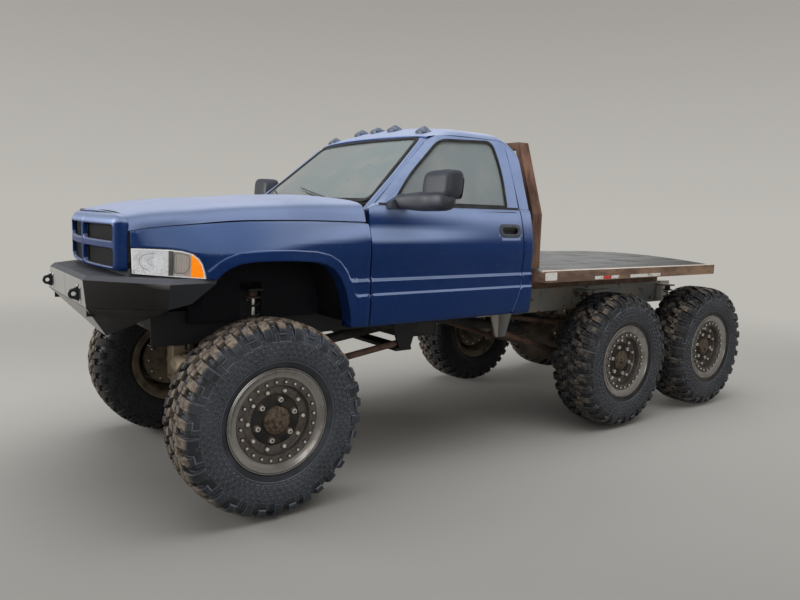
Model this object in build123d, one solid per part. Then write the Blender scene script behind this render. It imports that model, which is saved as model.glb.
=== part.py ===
from build123d import *
import os
from math import cos, radians, sin, sqrt

os.makedirs("parts", exist_ok=True)

# Six-wheeled pickup truck. Millimetres, X forward, Y to the left, Z up from the ground.
# Everything is drawn with X = 0 at the front axle, and moved at the end so that the
# origin lies on the ground under the middle of the whole truck.

# ---------------------------------------------------------------- driving dimensions
tyre_radius = 564
tyre_width = 400
bead_radius = 254
ring_radius = 311
ring_offset = 157
front_track = 1816
rear_track = 1840
wheelbase = 3192
tandem_gap = 173
front_disc_offset = 85
rear_disc_offset = 20
drum_radius = 200
spindle_radius = 40

kingpin_y = 740
kingpin_radius = 18
knuckle_radius = 48
steer_arm = 185
steer_drop = 50
tie_rod_radius = 15

ride_height = 361
frame_depth = 205
frame_width = 910
rail_flange = 75
rail_wall = 8
frame_nose = 760
frame_tail = 257

body_rise = 100
belt_rise = 770
roof_edge_rise = 1290
roof_crown = 60
crease_half = 975
belt_half = 915
roof_half = 757
door_margin = 102
door_length = 1323
cab_length = 1475
wall = 88
roof_wall = 45
door_wall = 60
frame_wall = 38
glass_wall = 6
door_gap = 12
floor_rise = 135
floor_sheet = 25
windscreen_bulge = 135

skin = 6
hood_skin = 20
hood_front = 775
hood_rear_bow = 125
grille_wall = 45
lamp_depth = 70

bumper_front = 880
bumper_plate = 8
tab_reach = 90
tab_thickness = 25
tow_eye_radius = 16
tow_tab_y = 400

deck_length = 2370
deck_half = 1040
deck_crown = 50
deck_sheet = 8
deck_rail = 85
deck_gap = 30

seat_gap = 0.3
pin_gap = 0.5
column_rake = 32

# ---------------------------------------------------------------- places worked out from them
axle_z = tyre_radius
frame_z = tyre_radius + ride_height
frame_top = frame_z + frame_depth
rail_y = frame_width / 2
middle_x = -wheelbase
rear_x = middle_x - 2 * tyre_radius - tandem_gap
frame_rear = rear_x - frame_tail

body_z = frame_z + body_rise
belt_z = body_z + belt_rise
roof_z = body_z + roof_edge_rise
cowl_z = belt_z - 50
floor_z = body_z + floor_rise
door_front = -(tyre_radius + door_margin)
door_rear = door_front - door_length
cab_rear = door_front - cab_length
post_front = door_front + 66
deck_front = cab_rear - deck_gap
deck_rear = deck_front - deck_length
deck_z = frame_top + 130
deck_top = deck_z + deck_rail
screen_slope = 1.234
screen_x = post_front + (belt_z + 15 - cowl_z) * screen_slope

nose_x = bumper_front + tab_reach
tail_x = rear_x - tyre_radius
shift_x = -(nose_x + tail_x) / 2

nodes = {}


# ---------------------------------------------------------------- drawing helpers
def flat(points, radius=0):
    """Closed flat outline, its corners rounded when a radius is given."""
    shape = Polygon(*points, align=None)
    if radius:
        shape = fillet(shape.vertices(), radius)
    return shape


def along_x(shape, start, end):
    """Outline drawn in Y and Z, carried from X = start to X = end."""
    return extrude(Plane.YZ.offset(start) * shape, amount=end - start, dir=(1, 0, 0))


def along_y(shape, start, end):
    """Outline drawn in X and Z, carried from Y = start to Y = end."""
    return extrude(Plane.XZ.offset(-start) * shape, amount=end - start, dir=(0, 1, 0))


def along_z(shape, start, end):
    """Outline drawn in X and Y, carried from Z = start to Z = end."""
    return extrude(Plane.XY.offset(start) * shape, amount=end - start, dir=(0, 0, 1))


def block(x0, x1, y0, y1, z0, z1, radius=0):
    """Box between its faces, its upright edges rounded when a radius is given."""
    return along_z(flat([(x0, y0), (x1, y0), (x1, y1), (x0, y1)], radius), z0, z1)


def grown(shape, amount):
    """Outline moved outwards, or inwards when the amount is negative."""
    return offset(shape, amount, kind=Kind.INTERSECTION)


def other_side(shape):
    """The same shape on the right-hand side."""
    return mirror(shape, about=Plane.XZ)


def both_sides(shape):
    """The shape and its twin on the other side, as two solids."""
    return Compound(children=[*shape.solids(), *other_side(shape).solids()])


def gather(*shapes):
    """Several solids that share one node."""
    return Compound(children=[solid for shape in shapes for solid in shape.solids()])


def rod(start, end, radius):
    """Round bar between two points."""
    start, end = Vector(*start), Vector(*end)
    axis = end - start
    return Solid.make_cylinder(radius, axis.length, Plane(origin=start, z_dir=axis))


def disc_y(x, z, y0, y1, radius):
    """Round boss whose axis lies along Y."""
    return rod((x, y0, z), (x, y1, z), radius)


def turned(points, centre, outward):
    """Solid of revolution about the wheel's axis, from points of (distance out, radius)."""
    shape = flat([(r, y) for y, r in points])
    solid = revolve(Plane.XY * shape, Axis.Y)
    if outward < 0:
        solid = mirror(solid, about=Plane.XZ)
    return Pos(*centre) * solid


# ---------------------------------------------------------------- wheels
def tyre(centre, outward):
    """Wide off-road tyre, plain here, with flat bead sides against the rim's flanges."""
    half = tyre_width / 2
    shoulder = 0.965 * tyre_radius
    points = [
        (-half + 25, bead_radius + seat_gap),
        (-half + 25, bead_radius + 22),
        (-half + 5, bead_radius + 45),
        (-half, (bead_radius + tyre_radius) / 2 + 20),
        (-half + 40, shoulder - 20),
        (-half + 62, shoulder + 8),
        (-half + 85, tyre_radius - 2),
        (0, tyre_radius),
        (half - 85, tyre_radius - 2),
        (half - 62, shoulder + 8),
        (half - 40, shoulder - 20),
        (half, (bead_radius + tyre_radius) / 2 + 20),
        (ring_offset - 12, ring_radius + 6),
        (ring_offset - 12, bead_radius + seat_gap),
    ]
    return turned(points, centre, outward)


def rim(centre, outward, disc, hub_end, drum_inner):
    """Rim barrel with its outer bead ring, disc, hub and brake drum as one turned piece."""
    half = tyre_width / 2
    barrel = bead_radius - 14
    points = [
        (-half + 15, barrel),
        (-half + 15, bead_radius + 20),
        (-half + 25, bead_radius + 20),
        (-half + 25, bead_radius),
        (ring_offset - 12, bead_radius),
        (ring_offset - 12, ring_radius),
        (ring_offset + 8, ring_radius),
        (ring_offset + 8, barrel - 6),
        (ring_offset - 12, barrel - 6),
        (disc + 18, barrel - 16),
        (disc + 12, 150),
        (disc + 12, 105),
        (hub_end - 20, 80),
        (hub_end, 60),
        (hub_end, 0),
        (disc - 10, 0),
        (disc - 10, spindle_radius + pin_gap),
        (drum_inner, spindle_radius + pin_gap),
        (drum_inner, 110),
        (drum_inner + 60, 110),
        (drum_inner + 60, drum_radius - 12),
        (drum_inner, drum_radius - 12),
        (drum_inner, drum_radius),
        (disc - 2, drum_radius),
        (disc, barrel - 10),
        (disc - 20, barrel),
    ]
    return turned(points, centre, outward)


wheel_places = [
    ("front", 0, front_track / 2, front_disc_offset, ring_offset + 4, 60),
    ("middle", middle_x, rear_track / 2, rear_disc_offset, ring_offset - 47, 60),
    ("rear", rear_x, rear_track / 2, rear_disc_offset, ring_offset - 47, 60),
]
drum_face = {}
for place, x, y, disc, hub_end, margin in wheel_places:
    drum_inner = kingpin_y + margin - y
    drum_face[place] = y + drum_inner
    for side, outward in (("left", 1), ("right", -1)):
        centre = (x, outward * y, axle_z)
        nodes[f"tyre_{place}_{side}"] = tyre(centre, outward)
        nodes[f"rim_{place}_{side}"] = rim(centre, outward, disc, hub_end, drum_inner)


# ---------------------------------------------------------------- axles and steering
housing_radius = 66
pinion_y = 90
pinion_z = axle_z + 150
link_y = rail_y
plate_wall = 20
lower_eye = (102, -27)
upper_eye = (-8, 211)
front_lower_eye = (-95, 60)


def differential(x, facing):
    """Bowl in the middle of the axle, with the pinion housing on top of it."""
    bowl = Pos(x, pinion_y, axle_z) * scale(Sphere(1), by=(135, 205, 175))
    top = Pos(x, pinion_y, pinion_z) * Rot(0, 90, 0) * Cylinder(85, 250)
    nose = Pos(x + facing * 175, pinion_y, pinion_z) * Rot(0, 90, 0) * Cylinder(52, 150)
    return bowl + top + nose


def eye_plate(x, eye, z_ref):
    """Plate that joins a link's eye to the axle tube."""
    return along_y(
        flat([
            (x - 50, z_ref - 40),
            (x + eye[0] - 30, z_ref + eye[1] - 38),
            (x + eye[0] + 34, z_ref + eye[1] - 38),
            (x + eye[0] + 34, z_ref + eye[1] + 30),
            (x + 40, z_ref + 50),
            (x - 50, z_ref + 50),
        ], 12),
        link_y, link_y + plate_wall)


def spring_seat(x, lean):
    """Ledge on the axle tube under the coil-over."""
    return block(x + lean - 55, x + lean + 55, 505, 615, axle_z + 40, axle_z + 70, 20)


def driven_axle(x):
    """Rear axle: tube, differential, spindles, link plates and spring seats."""
    face = drum_face["rear"]
    tube = rod((x, -face + 12, axle_z), (x, face - 12, axle_z), housing_radius)
    ends = rod((x, -rear_track / 2, axle_z), (x, rear_track / 2, axle_z), spindle_radius)
    flange = disc_y(x, axle_z, face - 32, face - 12, 105)
    plate = eye_plate(x, lower_eye, axle_z)
    seat = spring_seat(x, -70)
    tower = block(x + upper_eye[0] - 45, x + upper_eye[0] + 45, 330, 350, axle_z, axle_z + 250, 10)
    half = flange + plate + seat + tower
    axle = tube + ends + differential(x, 1) + half + other_side(half)
    through = Pos(x - 175, pinion_y, pinion_z) * Rot(0, 90, 0) * Cylinder(52, 150)
    return axle + through


ear = 22
yoke_half = knuckle_radius
boss_half = 105


def front_axle():
    """Steered axle: tube, differential and a forked yoke that holds each kingpin."""
    tube = rod((0, -kingpin_y + 90, axle_z), (0, kingpin_y - 90, axle_z), housing_radius)
    web = block(-yoke_half, yoke_half, kingpin_y - 130, kingpin_y - 70,
                axle_z - boss_half - 5 - ear, axle_z + boss_half + 5 + ear, 10)
    fork = web
    for low in (axle_z + boss_half + 5, axle_z - boss_half - 5 - ear):
        arm = block(-yoke_half, yoke_half, kingpin_y - 100, kingpin_y, low, low + ear)
        tip = rod((0, kingpin_y, low), (0, kingpin_y, low + ear), yoke_half)
        fork += arm + tip
    pin = rod((0, kingpin_y, axle_z - boss_half - 10), (0, kingpin_y, axle_z + boss_half + 10),
              kingpin_radius)
    plate = eye_plate(0, front_lower_eye, axle_z)
    seat = spring_seat(0, -70)
    half = fork + pin + plate + seat
    return tube + differential(0, -1) + half + other_side(half)


def knuckle():
    """Left steering knuckle: boss on the kingpin, spindle and rearward steering arm."""
    boss = rod((0, kingpin_y, axle_z - boss_half), (0, kingpin_y, axle_z + boss_half),
               knuckle_radius)
    spindle = rod((0, kingpin_y, axle_z), (0, front_track / 2 + front_disc_offset - 20, axle_z),
                  spindle_radius)
    arm_z = axle_z - steer_drop
    arm = block(-steer_arm, 0, kingpin_y - 20, kingpin_y + 20, arm_z - 14, arm_z + 14)
    tip = rod((-steer_arm, kingpin_y, arm_z - 14), (-steer_arm, kingpin_y, arm_z + 14), 24)
    hole = rod((0, kingpin_y, 0), (0, kingpin_y, 2 * axle_z), kingpin_radius + pin_gap)
    stud_hole = rod((-steer_arm, kingpin_y, arm_z - 20), (-steer_arm, kingpin_y, arm_z + 20),
                    9 + pin_gap)
    return boss + spindle + arm + tip - hole - stud_hole


def tie_rod():
    """Bar behind the axle with a stud into the left arm; its right stud stands free."""
    z = axle_z - steer_drop - 14 - pin_gap - 24
    bar = rod((-steer_arm, -kingpin_y + 20, z), (-steer_arm, kingpin_y - 20, z), tie_rod_radius)
    piece = bar
    for side in (1, -1):
        end = side * kingpin_y
        piece += rod((-steer_arm, end, z - 18), (-steer_arm, end, z + 24), 22)
        piece += rod((-steer_arm, end, z), (-steer_arm, end, z + 24 + pin_gap + 20), 9)
    return piece


nodes["front_axle"] = front_axle()
nodes["middle_axle"] = driven_axle(middle_x)
nodes["rear_axle"] = driven_axle(rear_x)
nodes["knuckle_left"] = knuckle()
nodes["knuckle_right"] = other_side(knuckle())
nodes["tie_rod"] = tie_rod()

# ---------------------------------------------------------------- frame
liner_y = rail_y + 60
engine_front = 400
engine_rear = door_front + 106
engine_half = 300
engine_low = frame_z + 20
engine_high = belt_z - 260
rear_link_reach = 780
hanger_places = [middle_x + lower_eye[0] + rear_link_reach, rear_x + lower_eye[0] + rear_link_reach]
crossmember_places = [frame_nose - 120, hanger_places[0] + 79, (middle_x + rear_x) / 2,
                      frame_rear + 60]


def rail():
    """Channel rail of the left side, open towards the middle."""
    outer = flat([(rail_y - rail_flange, frame_z), (rail_y, frame_z), (rail_y, frame_top),
                  (rail_y - rail_flange, frame_top)])
    inner = flat([(rail_y - rail_flange - 1, frame_z + rail_wall),
                  (rail_y - rail_wall, frame_z + rail_wall),
                  (rail_y - rail_wall, frame_top - rail_wall),
                  (rail_y - rail_flange - 1, frame_top - rail_wall)])
    return along_x(outer - inner, frame_rear, frame_nose)


def crossmember(x):
    """Box bar between the rails' webs."""
    reach = rail_y - rail_wall
    return block(x - 35, x + 35, -reach, reach, frame_z + rail_wall, frame_z + 110)


def hanger(x, eye_z):
    """Plate bolted outside the rail that carries the front eye of a lower link."""
    return along_y(
        flat([(x - 110, frame_top - 40), (x - 110, frame_z), (x - 50, eye_z - 40),
              (x + 50, eye_z - 40), (x + 110, frame_z), (x + 110, frame_top - 40)], 15),
        rail_y, rail_y + plate_wall)


def spring_tower(x, top_z):
    """Outrigger on the rail above a coil-over."""
    top = block(x - 50, x + 50, rail_y, 610, top_z - 14, top_z, 10)
    web = block(x - 50, x + 50, rail_y, rail_y + 14, frame_z + 20, top_z)
    return top + web


spring_lean = -70
rear_spring_top = frame_top - 20
front_spring_top = frame_top + 130
front_hanger_x = door_front - 650
lower_eye_z = axle_z + 225


def chassis_frame():
    """Two rails with crossmembers, link hangers, spring towers and all the brackets."""
    half = rail()
    for x in [*hanger_places, front_hanger_x]:
        half += hanger(x, lower_eye_z)
    for x in (middle_x, rear_x):
        half += spring_tower(x + spring_lean, rear_spring_top)
    half += spring_tower(spring_lean, front_spring_top)
    whole = half + other_side(half)
    for x in crossmember_places:
        whole += crossmember(x)
    mount = block(-60, 60, engine_half + seat_gap, rail_y - rail_flange + 10,
                  frame_z + 60, frame_z + 120)
    drop_plate = block(front_hanger_x - 70, front_hanger_x + 70, -rail_y - 5, rail_y + 5,
                       lower_eye_z - 60, lower_eye_z - 40 + 4)
    for x in (-400, 230):
        strut = block(x - 20, x + 20, rail_y, liner_y - seat_gap, frame_top - 40, frame_top)
        whole += strut + other_side(strut)
    for x in (door_front - 230, cab_rear + 230):
        pad = block(x - 50, x + 50, rail_y - 70, rail_y, frame_top - 1, floor_z - floor_sheet)
        whole += pad + other_side(pad)
    return whole + mount + other_side(mount) + drop_plate


nodes["chassis_frame"] = chassis_frame()


# ---------------------------------------------------------------- suspension and driveline
def link(start, end, y, radius=24):
    """Suspension arm with an eye at each end, its outer faces flush at Y = y."""
    width = 56
    piece = rod((start[0], y - width / 2, start[1]), (end[0], y - width / 2, end[1]), radius)
    for x, z in (start, end):
        piece += disc_y(x, z, y - width, y, 34)
    return piece


def lower_links():
    """Lower arms of all three axles, each between a frame hanger and its axle plate."""
    arms = []
    for axle_x, frame_x in zip((middle_x, rear_x), hanger_places):
        end = (axle_x + lower_eye[0], axle_z + lower_eye[1])
        arms.append(link((frame_x, lower_eye_z), end, link_y))
    end = (front_lower_eye[0], axle_z + front_lower_eye[1])
    arms.append(link((front_hanger_x, lower_eye_z), end, link_y))
    return both_sides(gather(*arms))


def upper_links():
    """Upper arms of the two driven rear axles, from the crossmembers to the axle towers."""
    arms = []
    for axle_x, frame_x in zip((middle_x, rear_x), hanger_places):
        end = (axle_x + upper_eye[0], axle_z + upper_eye[1])
        start = (frame_x - 180, frame_z - 36)
        arm = link(start, end, 330, 20)
        arm += block(start[0] - 30, start[0] + 30, 286, 318, start[1] + 20, frame_z)
        reach = rail_y - rail_wall
        arm += block(start[0] - 30, start[0] + 30, 280, reach - rail_flange + 40,
                     frame_z - 12, frame_z - seat_gap)
        arms.append(arm)
    return both_sides(gather(*arms))


def coilover(x, top_z):
    """Damper with its coil drawn as a closed sleeve, between axle ledge and outrigger."""
    foot = axle_z + 70
    y = 560
    body = rod((x, y, foot), (x, y, top_z - 14), 26)
    spring = rod((x, y, foot + 40), (x, y, top_z - 60), 46)
    cap = rod((x, y, top_z - 60), (x, y, top_z - 50), 50)
    return body + spring + cap


def coilovers():
    """One coil-over beside each end of each axle."""
    units = [coilover(x + spring_lean, rear_spring_top) for x in (middle_x, rear_x)]
    units.append(coilover(spring_lean, front_spring_top))
    return both_sides(gather(*units))


case_x = door_front - 1000
case_front = case_x + 170
case_rear = case_x - 190
case_z = frame_z - 40


def drive_shaft(start, end, radius=38):
    """Tube with a flange plate at each end, each plate upright across X."""
    direction = 1 if end[0] > start[0] else -1
    near = (start[0] + direction * 12, *start[1:])
    far = (end[0] - direction * 12, *end[1:])
    piece = rod(near, far, radius)
    for x, y, z, way in ((*start, direction), (*end, -direction)):
        piece += rod((x, y, z), (x + way * 25, y, z), 62)
    return piece


def drive_shafts():
    """Shafts from the transfer case to the front and middle axles, and on to the rear one."""
    nose = 250
    front = drive_shaft((case_front, 150, case_z), (-nose, pinion_y, pinion_z))
    middle = drive_shaft((case_rear, pinion_y, case_z), (middle_x + nose, pinion_y, pinion_z))
    rear = drive_shaft((middle_x - nose, pinion_y, pinion_z), (rear_x + nose, pinion_y, pinion_z))
    return gather(front, middle, rear)


gearbox_z = frame_z + 60


def gearbox():
    """Gearbox behind the engine with the transfer case at its end."""
    bell = rod((engine_rear, 0, gearbox_z), (engine_rear - 220, 0, gearbox_z), 140)
    box = rod((engine_rear - 200, 0, gearbox_z), (case_front - 60, 0, gearbox_z), 90)
    case = block(case_rear, case_front, -150, 200, case_z - 120, frame_z + 160, 40)
    return bell + box + case


nodes["lower_links"] = lower_links()
nodes["upper_links"] = upper_links()
nodes["coilovers"] = coilovers()
nodes["drive_shafts"] = drive_shafts()
nodes["engine_block"] = block(engine_rear, engine_front, -engine_half, engine_half,
                              engine_low, engine_high, 30)
nodes["gearbox"] = gearbox()
nodes["radiator"] = block(engine_front + 60, engine_front + 130, -410, 410,
                          frame_top, belt_z - 220, 8)


# ---------------------------------------------------------------- cab shape
def side_half(z):
    """Half-width of the body at a height, straight between its creases."""
    marks = [(body_z, crease_half - 30), (body_z + 35, crease_half - 16),
             (body_z + 215, crease_half - 8), (body_z + 295, crease_half),
             (body_z + 475, crease_half - 5), (body_z + 720, belt_half + 15),
             (belt_z, belt_half), (roof_z, roof_half)]
    for (low, a), (high, b) in zip(marks, marks[1:]):
        if z <= high:
            return a + (b - a) * (z - low) / (high - low)
    return roof_half


side_heights = [body_z, body_z + 35, body_z + 215, body_z + 295, body_z + 475, body_z + 720,
                belt_z, roof_z]


def cab_section(x, inset, top_inset, low, crown):
    """Closed section of the cab across X, moved inwards by the inset."""
    heights = [low] + [z for z in side_heights[1:-1]] + [roof_z - top_inset]
    left = [Vector(x, side_half(z) - inset, z) for z in heights]
    right = [Vector(x, -point.Y, point.Z) for point in reversed(left)]
    edge_y = left[-1].Y
    edge_z = left[-1].Z
    roof = Spline(left[-1], Vector(x, edge_y - 45, edge_z + crown * 0.42),
                  Vector(x, 0, edge_z + crown),
                  Vector(x, -edge_y + 45, edge_z + crown * 0.42), right[0],
                  tangents=[(0, -60, 120), (0, -60, -120)])
    walls = Polyline(*left).edges() + Polyline(*right).edges()
    base = Line(right[-1], left[0])
    return Face(Wire([*walls, *roof.edges(), *base.edges()]))


def cab_form(inset, top_inset=0, low=body_z):
    """Whole outside shape of the cab, or the same shape moved inwards."""
    stations = [(post_front + 400, 0.35), (door_front - 560, 0.72), (door_front - 950, 1.0),
                (cab_rear - 60, 0.55)]
    sections = [cab_section(x, inset, top_inset, low, roof_crown * share)
                for x, share in stations]
    barrel = loft(sections)
    lower = block(cab_rear + inset, post_front - inset, -1200, 1200, low, cowl_z)
    front = screen_x - inset * 1.1
    plan = Polyline((front - windscreen_bulge * 1.8, 1090), (front - 2600, 1090),
                    (front - 2600, -1090), (front - windscreen_bulge * 1.8, -1090))
    bow = ThreePointArc((front - windscreen_bulge * 1.8, -1090), (front, 0),
                        (front - windscreen_bulge * 1.8, 1090))
    plan_face = Plane.XY.offset(cowl_z) * make_face([*plan.edges(), *bow.edges()])
    rise = 800
    upper = extrude(plan_face, amount=rise * sqrt(1 + screen_slope ** 2),
                    dir=(-screen_slope, 0, 1))
    rear_cut = along_y(
        flat([(cab_rear + inset, low - 10), (post_front + 600, low - 10),
              (post_front + 600, roof_z + 300), (cab_rear + inset + 45, roof_z + 300),
              (cab_rear + inset, belt_z)]), -1300, 1300)
    return barrel & (lower + upper) & rear_cut


def side_core(inset):
    """Straight-sided core of the cab, its flanks moved inwards by the inset."""
    heights = [body_z - 100, *side_heights, roof_z + 300]
    left = [(side_half(z) - inset, z) for z in heights]
    right = [(-y, z) for y, z in reversed(left)]
    return along_x(flat([*left, *right]), cab_rear - 100, post_front + 500)


outside = cab_form(0)
inside = cab_form(wall, roof_wall, floor_z)

pillar_top = (door_front - 665, roof_z - 30)
door_outline = flat([
    (door_front, body_z + 5),
    (door_front, belt_z - 20),
    (door_front - 80, belt_z + 5),
    pillar_top,
    (door_rear + 25, roof_z - 30),
    (door_rear, roof_z - 110),
    (door_rear, body_z + 320),
    (door_rear + 22, body_z + 150),
    (door_rear + 95, body_z + 5),
], 8)
pillar_lean = (pillar_top[0] - (door_front - 80)) / (pillar_top[1] - (belt_z + 5))
window_outline = flat([
    (door_front - 214, belt_z + 10),
    (door_front - 131 + 185 * pillar_lean, belt_z + 190),
    (door_front - 686, roof_z - 60),
    (door_rear + 183, roof_z - 60),
    (door_rear + 131, belt_z + 10),
], 22)
screen_outline = flat([(-800, belt_z + 27), (800, belt_z + 27), (648, roof_z - 53),
                       (-648, roof_z - 53)], 25)
rear_window_outline = flat([(-600, belt_z + 50), (600, belt_z + 50), (555, roof_z - 110),
                            (-555, roof_z - 110)], 40)

hinge_x = door_front - 14
hinge_y = crease_half - 25
hinge_heights = [body_z + 155, body_z + 470]
nose_radius = 12
hinge_pin = 6
pocket_half = 35

hood_hinge_x = door_front + 16
hood_hinge_z = belt_z - 10


def cab_shell():
    """Hollow cab: floor, sills, posts, firewall, back wall and roof, with its openings."""
    opening = along_y(grown(door_outline, door_gap), 300, 1300) - side_core(door_wall + 8)
    doorway = along_y(grown(door_outline, -22), 300, 1300) - side_core(wall + 40)
    shell = outside - inside - opening - other_side(opening) - doorway - other_side(doorway)
    shell -= along_x(screen_outline, door_front - 800, post_front + 300)
    shell -= along_x(rear_window_outline, cab_rear - 100, cab_rear + 300)
    shell -= block(cab_rear - 10, post_front + 10, -800, 800, body_z - 10, floor_z - floor_sheet)
    front_strip = block(door_front, post_front + 400, 895, 1300,
                        body_z - 10, belt_z + 100)
    shell -= front_strip + other_side(front_strip)
    half = None
    for z in hinge_heights:
        arm = along_z(flat([(hinge_x - 7, hinge_y - 7), (hinge_x + 6, hinge_y + 4),
                            (post_front - 30, 882), (post_front - 30, 850),
                            (post_front - 62, 850)]), z - 22, z + 22)
        arm += rod((hinge_x, hinge_y, z - 22), (hinge_x, hinge_y, z + 22), 10)
        arm += rod((hinge_x, hinge_y, z - 50), (hinge_x, hinge_y, z + 50), hinge_pin)
        half = arm if half is None else half + arm
    ear_plate = block(hood_hinge_x - 12, hood_hinge_x + 18, 845, 860, cowl_z - 5, hood_hinge_z + 8)
    pin = disc_y(hood_hinge_x, hood_hinge_z, 850, 876, hinge_pin)
    half += ear_plate + pin
    return shell + half + other_side(half)


def door():
    """Left door: full thickness up to the belt, a thinner frame round the window."""
    leaf = along_y(door_outline, 300, 1300) - side_core(door_wall)
    head = block(door_rear - 100, door_front + 100, 300, 1300, belt_z + 5, roof_z + 100)
    thin = head & side_core(frame_wall)
    panel = (outside & leaf) - thin - along_y(window_outline, 300, 1300)
    for z in hinge_heights:
        panel -= block(hinge_x - 24, hinge_x + 30, 800, hinge_y + 11, z - pocket_half,
                       z + pocket_half)
        panel -= rod((hinge_x, hinge_y, z - 52), (hinge_x, hinge_y, z + 52), hinge_pin + pin_gap)
    centre_x = door_front - nose_radius
    centre_y = crease_half - nose_radius
    corner = block(centre_x, door_front + 1, centre_y, crease_half + 50, body_z - 20, belt_z)
    keep = rod((centre_x, centre_y, body_z - 30), (centre_x, centre_y, belt_z + 10), nose_radius)
    return panel - (corner - keep)


def pane(outline_face, inset):
    """Glass that fills an outline, lying at one depth in the cab's surface."""
    return (cab_form(inset) - cab_form(inset + glass_wall)) & outline_face


def mirror_unit():
    """Left mirror: foot on the door, swept arm and head."""
    foot_x = door_front - 184
    foot = along_y(flat([(foot_x - 60, belt_z - 45), (foot_x + 60, belt_z - 45),
                         (foot_x + 60, belt_z - 5), (foot_x - 60, belt_z - 5)], 12), 880, 950)
    foot = foot - cab_form(0)
    arm = rod((foot_x, 925, belt_z - 25), (foot_x - 130, 1190, belt_z + 45), 17)
    arm = arm - cab_form(-0.2)
    head = block(foot_x - 195, foot_x - 95, 1110, 1360, belt_z + 30, belt_z + 205, 30)
    head = fillet(head.edges().filter_by(GeomType.LINE).filter_by(Plane.XY), 12)
    return foot + arm + head


nodes["cab_shell"] = cab_shell()
nodes["door_left"] = door()
nodes["door_right"] = other_side(door())
side_pane = pane(along_y(grown(window_outline, -seat_gap), 300, 1300), 16)
nodes["door_glass_left"] = side_pane
nodes["door_glass_right"] = other_side(side_pane)
screen_prism = along_x(grown(screen_outline, -seat_gap), door_front - 800, post_front + 300)
nodes["windshield"] = pane(screen_prism, 14)
back_prism = along_x(grown(rear_window_outline, -seat_gap), cab_rear - 100, cab_rear + 300)
nodes["rear_window"] = pane(back_prism, 30)
nodes["mirror_left"] = mirror_unit()
nodes["mirror_right"] = other_side(mirror_unit())


# ---------------------------------------------------------------- hood, grille and fenders
def hood_station(x):
    """Half-width, gap height, shoulder height and crown height of the hood at X."""
    marks = [
        (door_front - 40, 934, -110, 5, 47),
        (-338, 900, -107, -5, 39),
        (81, 850, -115, -30, 13),
        (440, 750, -146, -67, -23),
        (665, 600, -178, -105, -58),
        (hood_front + 15, 500, -195, -130, -95),
    ]
    for a, b in zip(marks, marks[1:]):
        if x <= b[0]:
            break
    share = (x - a[0]) / (b[0] - a[0])
    half, gap, shoulder, crown = [p + (q - p) * share for p, q in zip(a[1:], b[1:])]
    return half, belt_z + gap, belt_z + shoulder, belt_z + crown


hood_stations = [door_front - 40, -338, 81, 440, 665, hood_front + 15]


def hood_section(x, inset):
    """Closed section of the hood across X, from its lower edge over the crown."""
    half, gap_z, shoulder_z, crown_z = hood_station(x)
    half -= inset
    shoulder_z -= inset
    crown_z -= inset
    low = gap_z - (1 if inset else 0)
    left = Vector(x, half, low)
    corner = Vector(x, half - 6, shoulder_z - 22)
    turn = Vector(x, half - 30, shoulder_z)
    far = [Vector(x, -p.Y, p.Z) for p in (left, corner, turn)]
    side = Line(left, corner)
    bend = ThreePointArc(corner, Vector(x, half - 13, shoulder_z - 6), turn)
    top = ThreePointArc(turn, Vector(x, 0, crown_z), far[2])
    bend_far = ThreePointArc(far[2], Vector(x, -half + 13, shoulder_z - 6), far[1])
    side_far = Line(far[1], far[0])
    base = Line(far[0], left)
    pieces = [side, bend, top, bend_far, side_far, base]
    return Face(Wire([edge for piece in pieces for edge in piece.edges()]))


def hood_plan(inset, rear_inset):
    """Plan outline of the hood: bowed rear edge, tapering sides, rounded nose."""
    rear = door_front + 14 + rear_inset
    tip = hood_front - inset
    rear_arc = ThreePointArc((rear, -960), (rear + hood_rear_bow, 0), (rear, 960))
    nose_arc = ThreePointArc((tip - 40, 540), (tip, 0), (tip - 40, -540))
    left = Polyline((rear, 960), (tip - 115, 960), (tip - 110, 580), (tip - 40, 540))
    right = Polyline((tip - 40, -540), (tip - 110, -580), (tip - 115, -960), (rear, -960))
    return make_face([*rear_arc.edges(), *left.edges(), *nose_arc.edges(), *right.edges()])


grille_low = belt_z - 409
grille_high = belt_z - 140


def grille_plan(inset):
    """Plan outline of the grille surround, down to its back edge."""
    tip = hood_front - inset
    nose = ThreePointArc((tip - 40, 540 - inset), (tip, 0), (tip - 40, -540 + inset))
    rest = Polyline((tip - 40, -540 + inset), (tip - 107, -575 + inset),
                    (hood_front - 175, -575 + inset), (hood_front - 175, 575 - inset),
                    (tip - 107, 575 - inset), (tip - 40, 540 - inset))
    return make_face([*nose.edges(), *rest.edges()])


def hood():
    """Hollow clamshell with its front wall, cut for the grille, and two hinge lugs."""
    outer = loft([hood_section(x, 0) for x in hood_stations])
    inner = loft([hood_section(x, hood_skin) for x in hood_stations])
    shell = outer & along_z(hood_plan(0, 0), grille_low, belt_z + 200)
    core = inner & along_z(hood_plan(30, -60), grille_low, belt_z + 200)
    shell = shell - core - along_z(grown(grille_plan(0), seat_gap), grille_low, grille_high)
    lug = block(hood_hinge_x - 12, hood_hinge_x + 60, 860.5, 875, hood_hinge_z - 12,
                hood_hinge_z + 8)
    lug -= disc_y(hood_hinge_x, hood_hinge_z, 850, 890, hinge_pin + pin_gap)
    return shell + lug + other_side(lug)


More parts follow.
